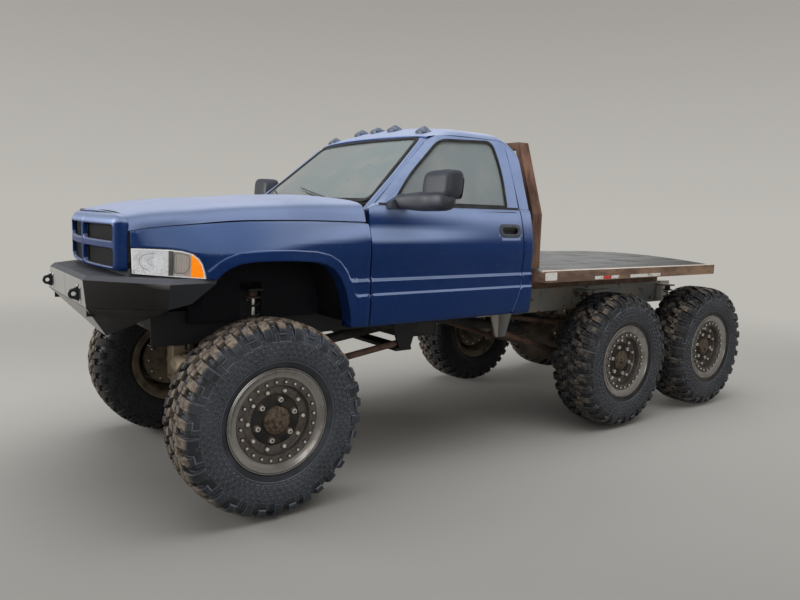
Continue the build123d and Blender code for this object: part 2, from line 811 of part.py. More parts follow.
def grille():
    """Painted surround with a cross of two bars and four openings."""
    body = along_z(grille_plan(0), grille_low, grille_high - seat_gap)
    hollow = along_z(grille_plan(grille_wall), grille_low - 1, grille_high + 1)
    back = block(hood_front - 240, hood_front - 150, -575 + grille_wall, 575 - grille_wall,
                 grille_low - 1, grille_high + 1)
    body = body - hollow - back
    for low, high in ((belt_z - 250, belt_z - 165), (belt_z - 390, belt_z - 288)):
        window = flat([(40, low), (505, low), (505, high), (40, high)], 18)
        cut = along_x(window, hood_front - 130, hood_front + 30)
        body = body - cut - other_side(cut)
    return body


def grille_mesh():
    """Thin perforated sheet behind the grille's openings, drawn plain."""
    front = along_z(grille_plan(grille_wall + seat_gap), grille_low + 2, grille_high - 4)
    back = along_z(grille_plan(grille_wall + 5), grille_low - 1, grille_high + 1)
    strip = block(hood_front - 260, hood_front - 150, -600, 600, grille_low - 1, grille_high + 1)
    return front - back - strip


fender_gap = 13
fender_rear = door_front + fender_gap
arch_front = 305
arch_rear = -(tyre_radius - 22)
arch_top = frame_z + 529
fender_low = body_z + 341
flap_low = body_z - 40
arch_outline = flat([
    (arch_front, arch_top - 88),
    (arch_front - 50, arch_top - 35),
    (arch_front - 145, arch_top - 9),
    (-70, arch_top),
    (arch_rear + 225, arch_top - 10),
    (arch_rear + 100, arch_top - 52),
    (arch_rear + 35, arch_top - 160),
    (arch_rear, arch_top - 320),
    (arch_rear + 5, flap_low - 60),
    (arch_front + 10, flap_low - 60),
])


def fender_marks():
    """Stations of the fender: X, side half-width, upper edge half-width and height."""
    half_rear, gap_rear = side_half(belt_z - 118) - 2, belt_z - 118
    return [
        (fender_rear, crease_half, half_rear, gap_rear),
        (-330, crease_half, 908, belt_z - 115),
        (80, 966, 860, belt_z - 123),
        (300, 934, 805, belt_z - 140),
        (372, 900, 782, belt_z - 148),
        (470, 815, 742, belt_z - 158),
        (570, 708, 672, belt_z - 172),
        (660, 612, 606, belt_z - 186),
    ]


def fender_section(x, side, edge_y, edge_z, inset):
    """Closed section of the fender skin across X."""
    drop = crease_half - side
    heights = side_heights[:5]

    def line_of(depth):
        points = [Vector(x, side_half(z) - drop - depth, z) for z in heights]
        last = points[-1]
        middle = Vector(x, (last.Y + edge_y) / 2 + 0.10 * (last.Y - edge_y) - depth * 0.4,
                        (last.Z + edge_z) / 2 + 25 - depth * 0.7)
        end = Vector(x, edge_y, edge_z - depth)
        return points, middle, end

    outer, outer_mid, outer_end = line_of(0)
    inner, inner_mid, inner_end = line_of(inset)
    pieces = [
        Polyline(*outer),
        ThreePointArc(outer[-1], outer_mid, outer_end),
        Line(outer_end, inner_end),
        ThreePointArc(inner_end, inner_mid, inner[-1]),
        Polyline(*reversed(inner)),
        Line(inner[0], outer[0]),
    ]
    return Face(Wire([edge for piece in pieces for edge in piece.edges()]))


def fender_skin(thickness):
    """Left fender from the door to the grille, before its cuts."""
    return loft([fender_section(*mark, thickness) for mark in fender_marks()], ruled=True)


lamp_outline = flat([(374, fender_low + 3), (672, fender_low + 3), (672, fender_low + 138),
                     (374, fender_low + 143)], 20)


def fender():
    """Left front fender with its arch lip, cut for the wheel and the lamp."""
    panel = fender_skin(skin)
    lip_wide = Plane.XZ.offset(-(crease_half - 22)) * grown(arch_outline, 58)
    lip_narrow = Plane.XZ.offset(-(crease_half + 25)) * grown(arch_outline, 16)
    lip = loft([lip_wide.faces()[0], lip_narrow.faces()[0]], ruled=True)
    lip = lip & block(fender_rear, arch_front + 60, 900, 1100, flap_low + 60, arch_top + 200)
    panel = panel + lip
    panel -= along_y(arch_outline, 300, 1300)
    panel -= block(arch_front - 30, 800, 300, 1300, flap_low - 100, fender_low)
    panel -= along_y(grown(lamp_outline, seat_gap), 300, 1300)
    return panel


def headlamp():
    """Left lamp: a block that follows the fender's corner."""
    body = fender_skin(lamp_depth) & along_y(lamp_outline, 300, 1300)
    return body & block(300, 700, 590, 1200, 0, 3000)


def inner_fender():
    """Wheel-arch liner between the frame and the fender."""
    outer = grown(arch_outline, 14)
    inner = grown(arch_outline, 10)
    liner = along_y(outer, liner_y, crease_half - 22 - seat_gap) - along_y(inner, liner_y + 4, 1300)
    liner -= block(spring_lean - 70, spring_lean + 70, 300, liner_y + 10, 0, front_spring_top + 30)
    liner -= block(100, 500, 905, 1300, 0, 3000)
    liner -= block(arch_front - 15, 500, 790, 1300, 0, fender_low + 5)
    liner -= block(arch_front - 55, 500, liner_y + 15, 1300, 0, body_z + 150)
    return liner & block(-700, 500, 300, 1300, body_z + 36, arch_top + 100)


nodes["hood"] = hood()
nodes["grille"] = grille()
nodes["grille_mesh"] = grille_mesh()
nodes["fenders"] = both_sides(fender())
nodes["headlamps"] = both_sides(headlamp())
nodes["inner_fenders"] = both_sides(inner_fender())


# ---------------------------------------------------------------- bumper
def bumper_ring(inset, centre, wing, end, z, back):
    """Corner points of the bumper at one height, from the left end to the right end."""
    left = [(300 + end, 930 - inset), (540 - wing - inset, 880 - inset * 0.4 - wing),
            (bumper_front - centre - inset, 483 - centre * 0.4)]
    right = [(x, -y) for x, y in reversed(left)]
    rear = [(back, -905 + inset), (back, 905 - inset)]
    return [Vector(x, y, z) for x, y in [*left, *right, *rear]]


def bumper_form(inset, back):
    """Faceted outside of the bumper, or its inside when an inset is given."""
    heights = [
        (body_z + 335 - inset, 40, 25, 0),
        (body_z + 295, 0, 0, 0),
        (body_z + 155, 0, 0, 60),
        (body_z + 85 + inset, 60, 60, 110),
    ]
    faces = [Face(Wire.make_polygon(bumper_ring(inset, centre, wing, end, z, back), close=True))
             for z, centre, wing, end in heights]
    return loft(faces, ruled=True)


def skid():
    """Sloping centre plate under the bumper."""
    return along_y(
        flat([(bumper_front - 70, body_z + 90), (bumper_front - 190, body_z - 75),
              (bumper_front - 200, body_z - 75), (bumper_front - 85, body_z + 90)]), -260, 260)


def bumper():
    """Folded plate bumper on two arms from the frame."""
    throat = along_z(flat([(200, 815), (480, 780), (770, 465), (770, -465), (480, -780),
                           (200, -815)]), frame_z, body_z + 400)
    shell = bumper_form(0, 290) - bumper_form(bumper_plate, 200) - throat
    inner_face = bumper_front - bumper_plate
    arm = along_y(flat([(560, frame_z + 70), (frame_nose, frame_z + 70),
                        (inner_face + 2, body_z + 160), (inner_face + 2, body_z + 270),
                        (740, body_z + 270), (560, frame_top)]), rail_y, rail_y + 12)
    return shell + skid() + arm + other_side(arm)


def tow_tab(y):
    """Thick plate with an eye through the bumper's face."""
    top, low = body_z + 240, body_z + 165
    plate = along_y(
        flat([(bumper_front, low - 15), (bumper_front + 55, low - 5), (nose_x, low + 20),
              (nose_x, top - 20), (bumper_front + 55, top + 5), (bumper_front, top + 15)], 8),
        y - tab_thickness / 2, y + tab_thickness / 2)
    return plate - disc_y(nose_x - 34, (top + low) / 2, y - 50, y + 50, tow_eye_radius)


nodes["front_bumper"] = bumper()
nodes["tow_tabs"] = gather(tow_tab(tow_tab_y), tow_tab(-tow_tab_y))


# ---------------------------------------------------------------- deck
def deck_arc(base, half, crown):
    """Upper line of the cambered deck."""
    return ThreePointArc((-half, base), (0, base + crown), (half, base))


def deck_floor():
    """Cambered sheet between the side rails."""
    half = deck_half - 10
    top = deck_arc(deck_top - 4, half, deck_crown)
    low = deck_arc(deck_top - 4 - deck_sheet, half, deck_crown)
    ends = [Line((half, deck_top - 4 - deck_sheet), (half, deck_top - 4)),
            Line((-half, deck_top - 4 - deck_sheet), (-half, deck_top - 4))]
    face = make_face([*top.edges(), *low.edges(), *ends[0].edges(), *ends[1].edges()])
    return along_x(face, deck_rear + 10, deck_front - 10)


def deck_bearer(x0, x1):
    """Cross bearer whose top follows the deck's camber."""
    half = deck_half - 10
    top = deck_arc(deck_top - 4 - deck_sheet, half, deck_crown)
    base = Polyline((half, deck_top - 4 - deck_sheet), (half, deck_z), (-half, deck_z),
                    (-half, deck_top - 4 - deck_sheet))
    return along_x(make_face([*top.edges(), *base.edges()]), x0, x1)


def deck_frame():
    """Side rails, end bearers, cross bearers and two long sills on the frame."""
    side = block(deck_rear, deck_front, deck_half - 10, deck_half, deck_z, deck_top)
    whole = side + other_side(side)
    whole += deck_bearer(deck_rear, deck_rear + 10) + deck_bearer(deck_front - 10, deck_front)
    count = 7
    pitch = (deck_length - 60) / (count - 1)
    for index in range(count):
        x = deck_rear + 10 + index * (pitch - 10)
        whole += deck_bearer(x, x + 50)
    sill = block(deck_rear, deck_front, rail_y - 65, rail_y - 5, frame_top, deck_z)
    return whole + sill + other_side(sill)


headboard_knee = deck_top + 420
headboard_top = roof_z - 5


def headboard():
    """Channel frame behind the cab, with a plate below and bars at window height."""
    bar = 50
    outer = flat([(-870, deck_top), (870, deck_top), (870, headboard_knee), (690, headboard_top),
                  (-690, headboard_top), (-870, headboard_knee)])
    low = flat([(-870 + bar, deck_top - 1), (870 - bar, deck_top - 1),
                (870 - bar, headboard_knee - bar), (-870 + bar, headboard_knee - bar)])
    high = flat([(-870 + bar, headboard_knee), (870 - bar, headboard_knee),
                 (690 - bar + 14, headboard_top - bar), (-690 + bar - 14, headboard_top - bar)])
    front = deck_front - 20
    frame = along_x(outer - low - high, front - 100, front)
    plate = along_x(flat([(-840, deck_top + deck_crown + 8), (840, deck_top + deck_crown + 8),
                          (840, headboard_knee - 20), (-840, headboard_knee - 20)]),
                    front - 60, front - 52)
    bars = None
    for index in range(-2, 3):
        y = index * 250
        rail_bar = block(front - 75, front - 45, y - 15, y + 15, headboard_knee - 30,
                         headboard_top - 20)
        bars = rail_bar if bars is None else bars + rail_bar
    whole = frame + plate + bars
    return whole - deck_bearer(deck_rear - 200, deck_front) - deck_floor()


def tail_lamp():
    """Left lamp on the rear rail of the deck."""
    return block(deck_rear - 32, deck_rear, 720, 900, deck_z + 10, deck_top - 15)


nodes["deck_floor"] = deck_floor()
nodes["deck_frame"] = deck_frame()
nodes["headboard"] = headboard()
nodes["tail_lamps"] = both_sides(tail_lamp())


# ---------------------------------------------------------------- cab interior and small pieces
dash_rear = door_front - 420


def dashboard():
    """Dashboard across the cab with the steering column."""
    half = side_half(belt_z) - wall - 60
    board_front = post_front - wall - seat_gap
    board = along_y(
        flat([(board_front, belt_z - 260), (board_front, cowl_z - 10),
              (door_front - 184, belt_z - 30), (dash_rear + 120, belt_z + 5),
              (dash_rear, belt_z - 60), (dash_rear + 40, belt_z - 240)], 12), -half, half)
    tip = column_tip()
    rake = radians(column_rake)
    foot = (tip[0] + 420 * cos(rake), tip[1], tip[2] - 420 * sin(rake))
    return board + rod(foot, tip, 32)


def column_tip():
    """Upper end of the steering column, where the wheel's hub sits."""
    return dash_rear - 110, 380, belt_z - 30


def steering_wheel():
    """Rim, hub and three spokes, turning about the column."""
    tip = column_tip()
    rake = radians(column_rake)
    axis = Vector(-cos(rake), 0, sin(rake))
    origin = Vector(*tip) + axis * seat_gap
    plane = Plane(origin=origin, x_dir=(0, 1, 0), z_dir=axis)
    hub = Solid.make_cylinder(45, 30, plane)
    centre = origin + axis * 30
    ring_plane = Plane(origin=centre, x_dir=(0, 1, 0), z_dir=axis)
    ring = Solid.make_torus(190, 15, ring_plane)
    wheel = hub + ring
    for turn in (0, 120, 240):
        way = ring_plane.x_dir.rotate(Axis(centre, axis), turn + 90)
        wheel += rod(tuple(centre - axis * 5), tuple(centre - axis * 5 + way * 188), 9)
    return wheel


def bench_seat():
    """Bench cushion and backrest on a low base."""
    half = 640
    front = dash_rear - 330
    base = block(front - 480, front - 40, -half + 40, half - 40, floor_z, floor_z + 240)
    cushion = along_y(flat([(front - 520, floor_z + 240), (front, floor_z + 240),
                            (front, floor_z + 370), (front - 520, floor_z + 350)], 30),
                      -half, half)
    back = along_y(flat([(front - 500, floor_z + 330), (front - 400, floor_z + 340),
                         (front - 470, floor_z + 960), (front - 540, floor_z + 960)], 25),
                   -half, half)
    return base + cushion + back


def roof_lamps():
    """Five small marker lamps seated on the roof."""
    front = screen_x - (roof_z - cowl_z) * screen_slope - 110.8
    lamps = []
    for y in (-600, -225, 0, 225, 600):
        x = front if abs(y) > 500 else front - 20
        low = Rectangle(88, 64)
        high = Rectangle(44, 30)
        base = roof_z - 40
        frustum = loft([Plane.XY.offset(base) * low, Plane.XY.offset(roof_z + 88) * high])
        top = roof_z + (26 if abs(y) > 500 else 66)
        body = Pos(x, y, 0) * frustum
        body &= block(x - 100, x + 100, y - 100, y + 100, base, top)
        lamps.append(body - outside)
    return gather(*lamps)


def fuel_tank():
    """Tank hung outside the right rail under the cab."""
    tank = block(cab_rear + 250, door_front - 250, -rail_y - 360, -rail_y - 40,
                 frame_z - 170, frame_z + 95, 60)
    straps = None
    for x in (cab_rear + 400, door_front - 400):
        arm = block(x - 20, x + 20, -rail_y - 40, -rail_y, frame_z + 20, frame_z + 80)
        straps = arm if straps is None else straps + arm
    return tank + straps


def exhaust_pipe():
    """Pipe along the inside of the right rail with its silencer and a hanger."""
    z = frame_z - 60
    y = -engine_half + 36
    start_x = engine_rear + 60
    down = rod((start_x, y, engine_low), (start_x, y, z - 32), 32)
    pipe = rod((start_x, y, z), (crossmember_places[1] - 210, y, z), 32)
    silencer = rod((door_front - 900, y, z), (door_front - 500, y, z), 85)
    x = crossmember_places[1]
    hanger_strap = block(x - 12, x + 12, y - 8, y + 8, z, frame_z + rail_wall)
    return pipe + silencer + down + hanger_strap


nodes["dashboard"] = dashboard()
nodes["steering_wheel"] = steering_wheel()
nodes["bench_seat"] = bench_seat()
nodes["roof_lamps"] = roof_lamps()
nodes["fuel_tank"] = fuel_tank()
nodes["exhaust_pipe"] = exhaust_pipe()

# ---------------------------------------------------------------- files
for name, shape in nodes.items():
    export_step(Pos(shift_x, 0, 0) * shape, f"parts/{name}.step")

print("pieces:", len(nodes), "shift_x:", shift_x)
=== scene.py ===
from math import cos, pi, radians, sin, sqrt

import bmesh
import bpy
import numpy as np
from mathutils import Matrix, Vector
from mathutils.geometry import delaunay_2d_cdt


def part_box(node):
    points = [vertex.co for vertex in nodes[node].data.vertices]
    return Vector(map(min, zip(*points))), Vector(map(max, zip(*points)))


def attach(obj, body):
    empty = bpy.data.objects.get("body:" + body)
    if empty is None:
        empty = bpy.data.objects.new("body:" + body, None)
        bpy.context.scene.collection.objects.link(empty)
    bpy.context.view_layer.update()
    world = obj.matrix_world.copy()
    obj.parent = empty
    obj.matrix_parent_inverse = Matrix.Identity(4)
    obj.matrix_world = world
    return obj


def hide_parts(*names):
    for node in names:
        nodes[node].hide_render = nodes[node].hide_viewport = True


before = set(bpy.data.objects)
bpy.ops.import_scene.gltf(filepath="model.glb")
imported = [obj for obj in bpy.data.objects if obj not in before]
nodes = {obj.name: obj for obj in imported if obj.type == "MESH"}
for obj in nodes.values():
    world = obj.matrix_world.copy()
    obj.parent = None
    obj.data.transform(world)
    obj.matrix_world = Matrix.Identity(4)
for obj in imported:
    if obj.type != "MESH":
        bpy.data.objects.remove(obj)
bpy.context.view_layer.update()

# ---------------------------------------------------------------- studio
# A plain pale floor that runs out to a soft grey wall of light, with a big softbox over the
# truck, one ahead of it, a weak one behind and a dim fill by the camera. Near the camera the
# floor's colour darkens as painted shade.


class Wire:
    """One output of a shader node. Arithmetic on it adds Math nodes."""

    def __init__(self, finish, out):
        self.finish = finish
        self.out = out

    def math(self, operation, first, second):
        return self.finish.add("ShaderNodeMath", {"operation": operation}, {0: first, 1: second})

    def __add__(self, other):
        return self.math("ADD", self, other)

    def __radd__(self, other):
        return self.math("ADD", other, self)

    def __sub__(self, other):
        return self.math("SUBTRACT", self, other)

    def __rsub__(self, other):
        return self.math("SUBTRACT", other, self)

    def __mul__(self, other):
        return self.math("MULTIPLY", self, other)

    def __rmul__(self, other):
        return self.math("MULTIPLY", other, self)


class Finish:
    """A finish made of shader nodes, each added by its type, settings and sockets."""

    def __init__(self, name, owner=None):
        self.material = owner or bpy.data.materials.new(name)
        self.material.use_nodes = True
        self.tree = self.material.node_tree
        self.shader = self.tree.nodes.get("Principled BSDF")

    def add(self, kind, settings=None, sockets=None, out=0):
        node = self.tree.nodes.new(kind)
        for key, value in (settings or {}).items():
            if key == "stops":
                while len(node.color_ramp.elements) < len(value):
                    node.color_ramp.elements.new(0.5)
                for element, (place, colour) in zip(node.color_ramp.elements, value):
                    element.position = place
                    element.color = (*colour, 1)
            else:
                setattr(node, key, value)
        self.feed(node, sockets or {})
        return Wire(self, node.outputs[out])

    def feed(self, node, sockets):
        for key, value in sockets.items():
            if isinstance(value, Wire):
                self.tree.links.new(value.out, node.inputs[key])
            else:
                node.inputs[key].default_value = value

    def set(self, **values):
        """Sockets of the main shader, named with _ for a space."""
        self.feed(self.shader, {key.replace("_", " "): value for key, value in values.items()})
        return self

    def spot(self, stretch=(1, 1, 1)):
        """Place on the piece, in metres, stretched along its axes."""
        where = self.add("ShaderNodeTexCoord", out="Object")
        return self.add("ShaderNodeMapping", {}, {"Vector": where, "Scale": stretch})

    def noise(self, scale, detail=3, rough=0.55, stretch=(1, 1, 1)):
        return self.add("ShaderNodeTexNoise", {},
                        {"Vector": self.spot(stretch), "Scale": scale, "Detail": detail,
                         "Roughness": rough})

    def between(self, value, low, high):
        """0 below low, 1 above high, and a soft step from one to the other."""
        return self.add("ShaderNodeMapRange", {"interpolation_type": "SMOOTHSTEP"},
                        {"Value": value, "From Min": low, "From Max": high})

    def mix(self, share, first, second):
        """Blend of two colours."""
        pair = {6: first, 7: second}
        for key, colour in pair.items():
            if not isinstance(colour, Wire):
                pair[key] = (*colour, 1)
        return self.add("ShaderNodeMix", {"data_type": "RGBA"}, {0: share, **pair}, out=2)

    def facing(self, axis):
        """How far the surface faces along one axis of the frame, from -1 to 1."""
        normal = self.add("ShaderNodeNewGeometry", out="Normal")
        return self.add("ShaderNodeSeparateXYZ", {}, {0: normal}, out=axis)

    def part_of(self, axis):
        """X, Y or Z of the place on the piece."""
        return self.add("ShaderNodeSeparateXYZ", {}, {0: self.spot()}, out=axis)

    def rounded(self, radius):
        """Normal as if every edge were rounded."""
        return self.add("ShaderNodeBevel", {"samples": 4}, {"Radius": radius})

    def worn_edge(self, radius):
        """1 on edges and 0 on flat faces."""
        soft = self.rounded(radius)
        flat = self.add("ShaderNodeNewGeometry", out="Normal")
        facing = self.add("ShaderNodeVectorMath", {"operation": "DOT_PRODUCT"},
                          {0: soft, 1: flat}, out="Value")
        return self.between(1 - facing, 0.01, 0.16)

    def bump(self, height, distance, strength=1.0, normal=None):
        sockets = {"Height": height, "Distance": distance, "Strength": strength}
        if normal:
            sockets["Normal"] = normal
        return self.add("ShaderNodeBump", {}, sockets)


def dress(node, finish):
    """Gives a CAD node its finish."""
    nodes[node].data.materials.clear()
    nodes[node].data.materials.append(finish.material)
    nodes[node].data.polygons.foreach_set("material_index",
                                          [0] * len(nodes[node].data.polygons))


wall_colour = (0.50, 0.485, 0.45)
floor_reach = 60

floor_finish = Finish("studio_floor")
grain = floor_finish.noise(0.6, 2)
from_front = floor_finish.add("ShaderNodeVectorMath", {"operation": "SUBTRACT"},
                              {0: floor_finish.spot(), 1: (3.7, 4.4, 0)})
away = floor_finish.add("ShaderNodeVectorMath", {"operation": "LENGTH"}, {0: from_front},
                        out="Value")
# Painted shade: the floor's colour darkens towards the camera's foot.
near = floor_finish.between(away, 1.5, 7.5)
far = floor_finish.between(away, 5.5, 15)
off_middle = floor_finish.add("ShaderNodeVectorMath", {"operation": "LENGTH"},
                              {0: floor_finish.spot()}, out="Value")
far = far.math("MAXIMUM", far, floor_finish.between(off_middle, 6.0, 12))
floor_base = floor_finish.mix(near, (0.225, 0.220, 0.209), (0.365, 0.357, 0.340))
floor_base = floor_finish.mix(grain * 0.08, floor_base, (0.44, 0.43, 0.41))
floor_finish.set(Base_Color=floor_base, Roughness=0.85, Specular_IOR_Level=0.15)
haze = floor_finish.add("ShaderNodeEmission", {}, {"Color": (*wall_colour, 1), "Strength": 1.0})
output = floor_finish.tree.nodes["Material Output"]
mixed = floor_finish.add("ShaderNodeMixShader", {},
                         {0: far, 1: Wire(floor_finish, floor_finish.shader.outputs[0]), 2: haze})
floor_finish.feed(output, {"Surface": mixed})

bpy.ops.mesh.primitive_circle_add(vertices=96, radius=floor_reach, fill_type="NGON")
floor = bpy.context.object
floor.name = "studio_floor"
floor.data.materials.append(floor_finish.material)

world = bpy.data.worlds.new("studio")
bpy.context.scene.world = world
sky = Finish("studio", world)
way = sky.add("ShaderNodeTexCoord", out="Generated")
height = sky.add("ShaderNodeSeparateXYZ", {}, {0: way}, out="Z")
wall = sky.add("ShaderNodeValToRGB", {"stops": [
    (0.0, wall_colour), (0.12, (0.45, 0.435, 0.405)), (0.30, (0.345, 0.33, 0.31)),
    (0.6, (0.30, 0.29, 0.275))]}, {0: height})
sky.feed(world.node_tree.nodes["Background"], {"Color": wall, "Strength": 1.0})


def softbox(name, place, target, size, power, colour=(1, 1, 1)):
    lamp = bpy.data.lights.new(name, "AREA")
    lamp.shape = "RECTANGLE"
    lamp.size, lamp.size_y = size
    lamp.energy = power
    lamp.color = colour
    lamp_object = bpy.data.objects.new(name, lamp)
    lamp_object.location = place
    way = Vector(target) - Vector(place)
    lamp_object.rotation_euler = way.to_track_quat("-Z", "Y").to_euler()
    bpy.context.scene.collection.objects.link(lamp_object)
    return lamp_object


top_light = softbox("top_softbox", (0.4, 0.9, 6.2), (0, 0, 0.8), (9, 6), 540)
top_light.visible_glossy = False
softbox("back_softbox", (-7, -5, 4.5), (0, 0, 1.2), (4, 3), 60)
softbox("front_softbox", (9.0, -4.0, 3.6), (1.5, 0, 0.9), (4.5, 3.5), 420)
softbox("fill_softbox", (4.0, 8.0, 3.4), (0, 0, 0.9), (6, 3), 80)

# ---------------------------------------------------------------- camera
# A slightly wide lens of about 30 mm, off the left front corner and level with the hood.
camera_place = (3.7027, 4.4023, 1.7465)
camera_yaw = -2.2114
camera_pitch = -0.1190
camera_roll = 0.0304
picture_width = 800
lens_pixels = 674.86

camera_data = bpy.data.cameras.new("camera")
camera_data.sensor_width = 36
camera_data.lens = lens_pixels / picture_width * camera_data.sensor_width
camera_data.shift_x = -1.35 / picture_width
camera_data.shift_y = -6.66 / picture_width
camera_data.clip_end = 500
camera = bpy.data.objects.new("camera", camera_data)
ahead = Vector((cos(camera_yaw) * cos(camera_pitch), sin(camera_yaw) * cos(camera_pitch),
                sin(camera_pitch)))
level = Vector((sin(camera_yaw), -cos(camera_yaw), 0))
upright = level.cross(ahead)
right = cos(camera_roll) * level + sin(camera_roll) * upright
above = -sin(camera_roll) * level + cos(camera_roll) * upright
turn = Matrix((right, above, -ahead)).transposed()
camera.matrix_world = Matrix.Translation(camera_place) @ turn.to_4x4()
bpy.context.scene.collection.objects.link(camera)
bpy.context.scene.camera = camera
bpy.context.scene.view_settings.view_transform = "Standard"

# ---------------------------------------------------------------- tyres
# Mud-terrain tyres with deep cleated shoulders, staggered centre blocks and a side wall set
# with rings of small blocks. Each is a turned carcass with its lugs laid on it one by one.


class Shape:
    """Faces gathered piece by piece into one mesh."""

    def __init__(self):
        self.points = []
        self.faces = []
        self.marks = []

    def add(self, points, faces, mark=0):
        start = len(self.points)
        self.points.extend(tuple(map(float, point)) for point in points)
        self.faces.extend([start + index for index in face] for face in faces)
        self.marks.extend([mark] * len(faces))

    def grid(self, rows, mark=0, closed=False, capped=False, looped=False):
        """Quads over rows of points: closed round each row, capped at both ends, or looped."""
        rows = np.asarray(rows, float)
        count, wide = rows.shape[:2]
        last = wide if closed else wide - 1
        steps = count if looped else count - 1
        faces = [[i * wide + j, i * wide + (j + 1) % wide,
                  (i + 1) % count * wide + (j + 1) % wide, (i + 1) % count * wide + j]
                 for i in range(steps) for j in range(last)]
        if capped:
            faces.append(list(range(wide))[::-1])
            faces.append([(count - 1) * wide + j for j in range(wide)])
        self.add(rows.reshape(-1, 3), faces, mark)

    def turned(self, profile, count, mark=0, closed=False):
        """Profile of (radius, y) pairs turned about the Y axis."""
        angles = np.arange(count) * 2 * pi / count
        radii, across = np.array(profile, float).T
        rows = np.stack([np.outer(np.sin(angles), radii), np.tile(across, (count, 1)),
                         np.outer(np.cos(angles), radii)], axis=2)
        self.grid(rows, mark, closed, looped=True)

    def slab(self, outline, low, high, place, mark=0, chamfer=0.0):
        """Prism over a flat outline, its top edge chamfered. place(u, v, height) gives points."""
        ring = np.array(outline, float)
        layers = [(ring, low), (ring, high - chamfer)]
        if chamfer:
            layers.append((shrunk(ring, chamfer), high))
        rows = [[place(u, v, height) for u, v in flat] for flat, height in layers]
        self.grid(rows, mark, closed=True, capped=True)

    def tube(self, path, radius, sides=12, mark=0):
        """Round bar or pipe along a path."""
        path = np.array(path, float)
        ways = np.gradient(path, axis=0)
        ways /= np.linalg.norm(ways, axis=1)[:, None]
        side = np.cross(ways[0], (0.0, 0.0, 1.0))
        if np.linalg.norm(side) < 0.2:
            side = np.cross(ways[0], (1.0, 0.0, 0.0))
        angles = np.arange(sides) * 2 * pi / sides
        rows = []
        radii = np.broadcast_to(radius, len(path))
        for point, way, size in zip(path, ways, radii):
            side = side - way * side.dot(way)
            side /= np.linalg.norm(side)
            other = np.cross(way, side)
            rows.append(point + size * (np.outer(np.cos(angles), side)
                                        + np.outer(np.sin(angles), other)))
        self.grid(rows, mark, closed=True, capped=True)

    def box(self, low, high, mark=0, chamfer=0.003):
        """Block with chamfered edges all round."""
        low, high = np.array(low, float), np.array(high, float)
        cut = min(chamfer, 0.4 * (high - low).min())
        rows = []
        for x, inset in ((low[0], cut), (low[0] + cut, 0), (high[0] - cut, 0), (high[0], cut)):
            a, b = low[1] + inset, high[1] - inset
            c, d = low[2] + inset, high[2] - inset
            k = cut if inset == 0 else 0.5 * cut
            rows.append([(x, a + k, c), (x, b - k, c), (x, b, c + k), (x, b, d - k),
                         (x, b - k, d), (x, a + k, d), (x, a, d - k), (x, a, c + k)])
        self.grid(rows, mark, closed=True, capped=True)

    def mirrored(self):
        """The same faces on the other side of the truck."""
        other = Shape()
        other.points = [(x, -y, z) for x, y, z in self.points]
        other.faces = [face[::-1] for face in self.faces]
        other.marks = list(self.marks)
        return other

    def join(self, *others):
        for other in others:
            start = len(self.points)
            self.points.extend(other.points)
            self.faces.extend([start + index for index in face] for face in other.faces)
            self.marks.extend(other.marks)
        return self

    def make(self, name, body, slot, finishes, smooth=35, outward=True, place=(0, 0, 0),
             turn=(0, 0, 0)):
        mesh = bpy.data.meshes.new(name)
        mesh.from_pydata(self.points, [], self.faces)
        for finish in finishes:
            mesh.materials.append(finish.material)
        mesh.polygons.foreach_set("material_index", self.marks)
        mesh.polygons.foreach_set("use_smooth", [True] * len(self.faces))
        mesh.validate()
        if outward:
            work = bmesh.new()
            work.from_mesh(mesh)
            bmesh.ops.recalc_face_normals(work, faces=work.faces)
            work.to_mesh(mesh)
            work.free()
        mesh.set_sharp_from_angle(angle=radians(smooth))
        piece = bpy.data.objects.new(name, mesh)
        return settled(piece, body, slot, place, turn)


def settled(piece, body, slot, place=(0, 0, 0), turn=(0, 0, 0)):
    """Puts a piece in its place, on its body."""
    bpy.context.scene.collection.objects.link(piece)
    piece.location = place
    piece.rotation_euler = turn
    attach(piece, body)
    return piece


def shrunk(ring, inset):
    """Outline moved inwards by the inset, whichever way round it runs."""
    ring = np.array(ring, float)
    before, after = ring - np.roll(ring, 1, axis=0), np.roll(ring, -1, axis=0) - ring
    area = np.sum(ring[:, 0] * np.roll(ring[:, 1], -1) - ring[:, 1] * np.roll(ring[:, 0], -1))
    inward = 1 if area > 0 else -1
    sides = [inward * np.stack([-way[:, 1], way[:, 0]], axis=1)
             / np.maximum(np.linalg.norm(way, axis=1), 1e-9)[:, None] for way in (before, after)]
    total = sides[0] + sides[1]
    share = np.maximum(np.sum(total * sides[1], axis=1), 0.35)
    return ring + total / share[:, None] * inset


wheel_names = [(place, side) for place in ("front", "middle", "rear")
               for side in ("left", "right")]
wheel_centre = {}
for place, side in wheel_names:
    low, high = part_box(f"tyre_{place}_{side}")
    wheel_centre[place, side] = tuple((a + b) / 2 for a, b in zip(low, high))
tyre_radius = 0.564
tread_depth = 0.0265
lug_count = 34

carcass = np.array([
    (0.5375, 0.0), (0.5365, 0.05), (0.534, 0.10), (0.527, 0.135), (0.515, 0.158), (0.500, 0.170),
    (0.482, 0.1775), (0.458, 0.183), (0.430, 0.1865), (0.395, 0.187), (0.365, 0.183),
    (0.343, 0.175), (0.326, 0.166), (0.315, 0.162), (0.310, 0.157), (0.307, 0.147)])
carcass_steps = np.concatenate([[0], np.cumsum(np.linalg.norm(np.diff(carcass, axis=0), axis=1))])


def on_carcass(along, height):
    """Radius and offset from the middle of a place on the carcass's skin."""
    def skin(where):
        return np.array([np.interp(where, carcass_steps, line) for line in carcass.T])

    reach = 0.006
    way = skin(along + reach) - skin(along - reach)
    way /= np.linalg.norm(way) + 1e-9
    radius, across = skin(along)
    return radius + way[1] * height, across - way[0] * height


def along_at(radius):
    """How far along the skin the side wall has that radius."""
    return float(np.interp(-radius, -carcass[:, 0], carcass_steps))


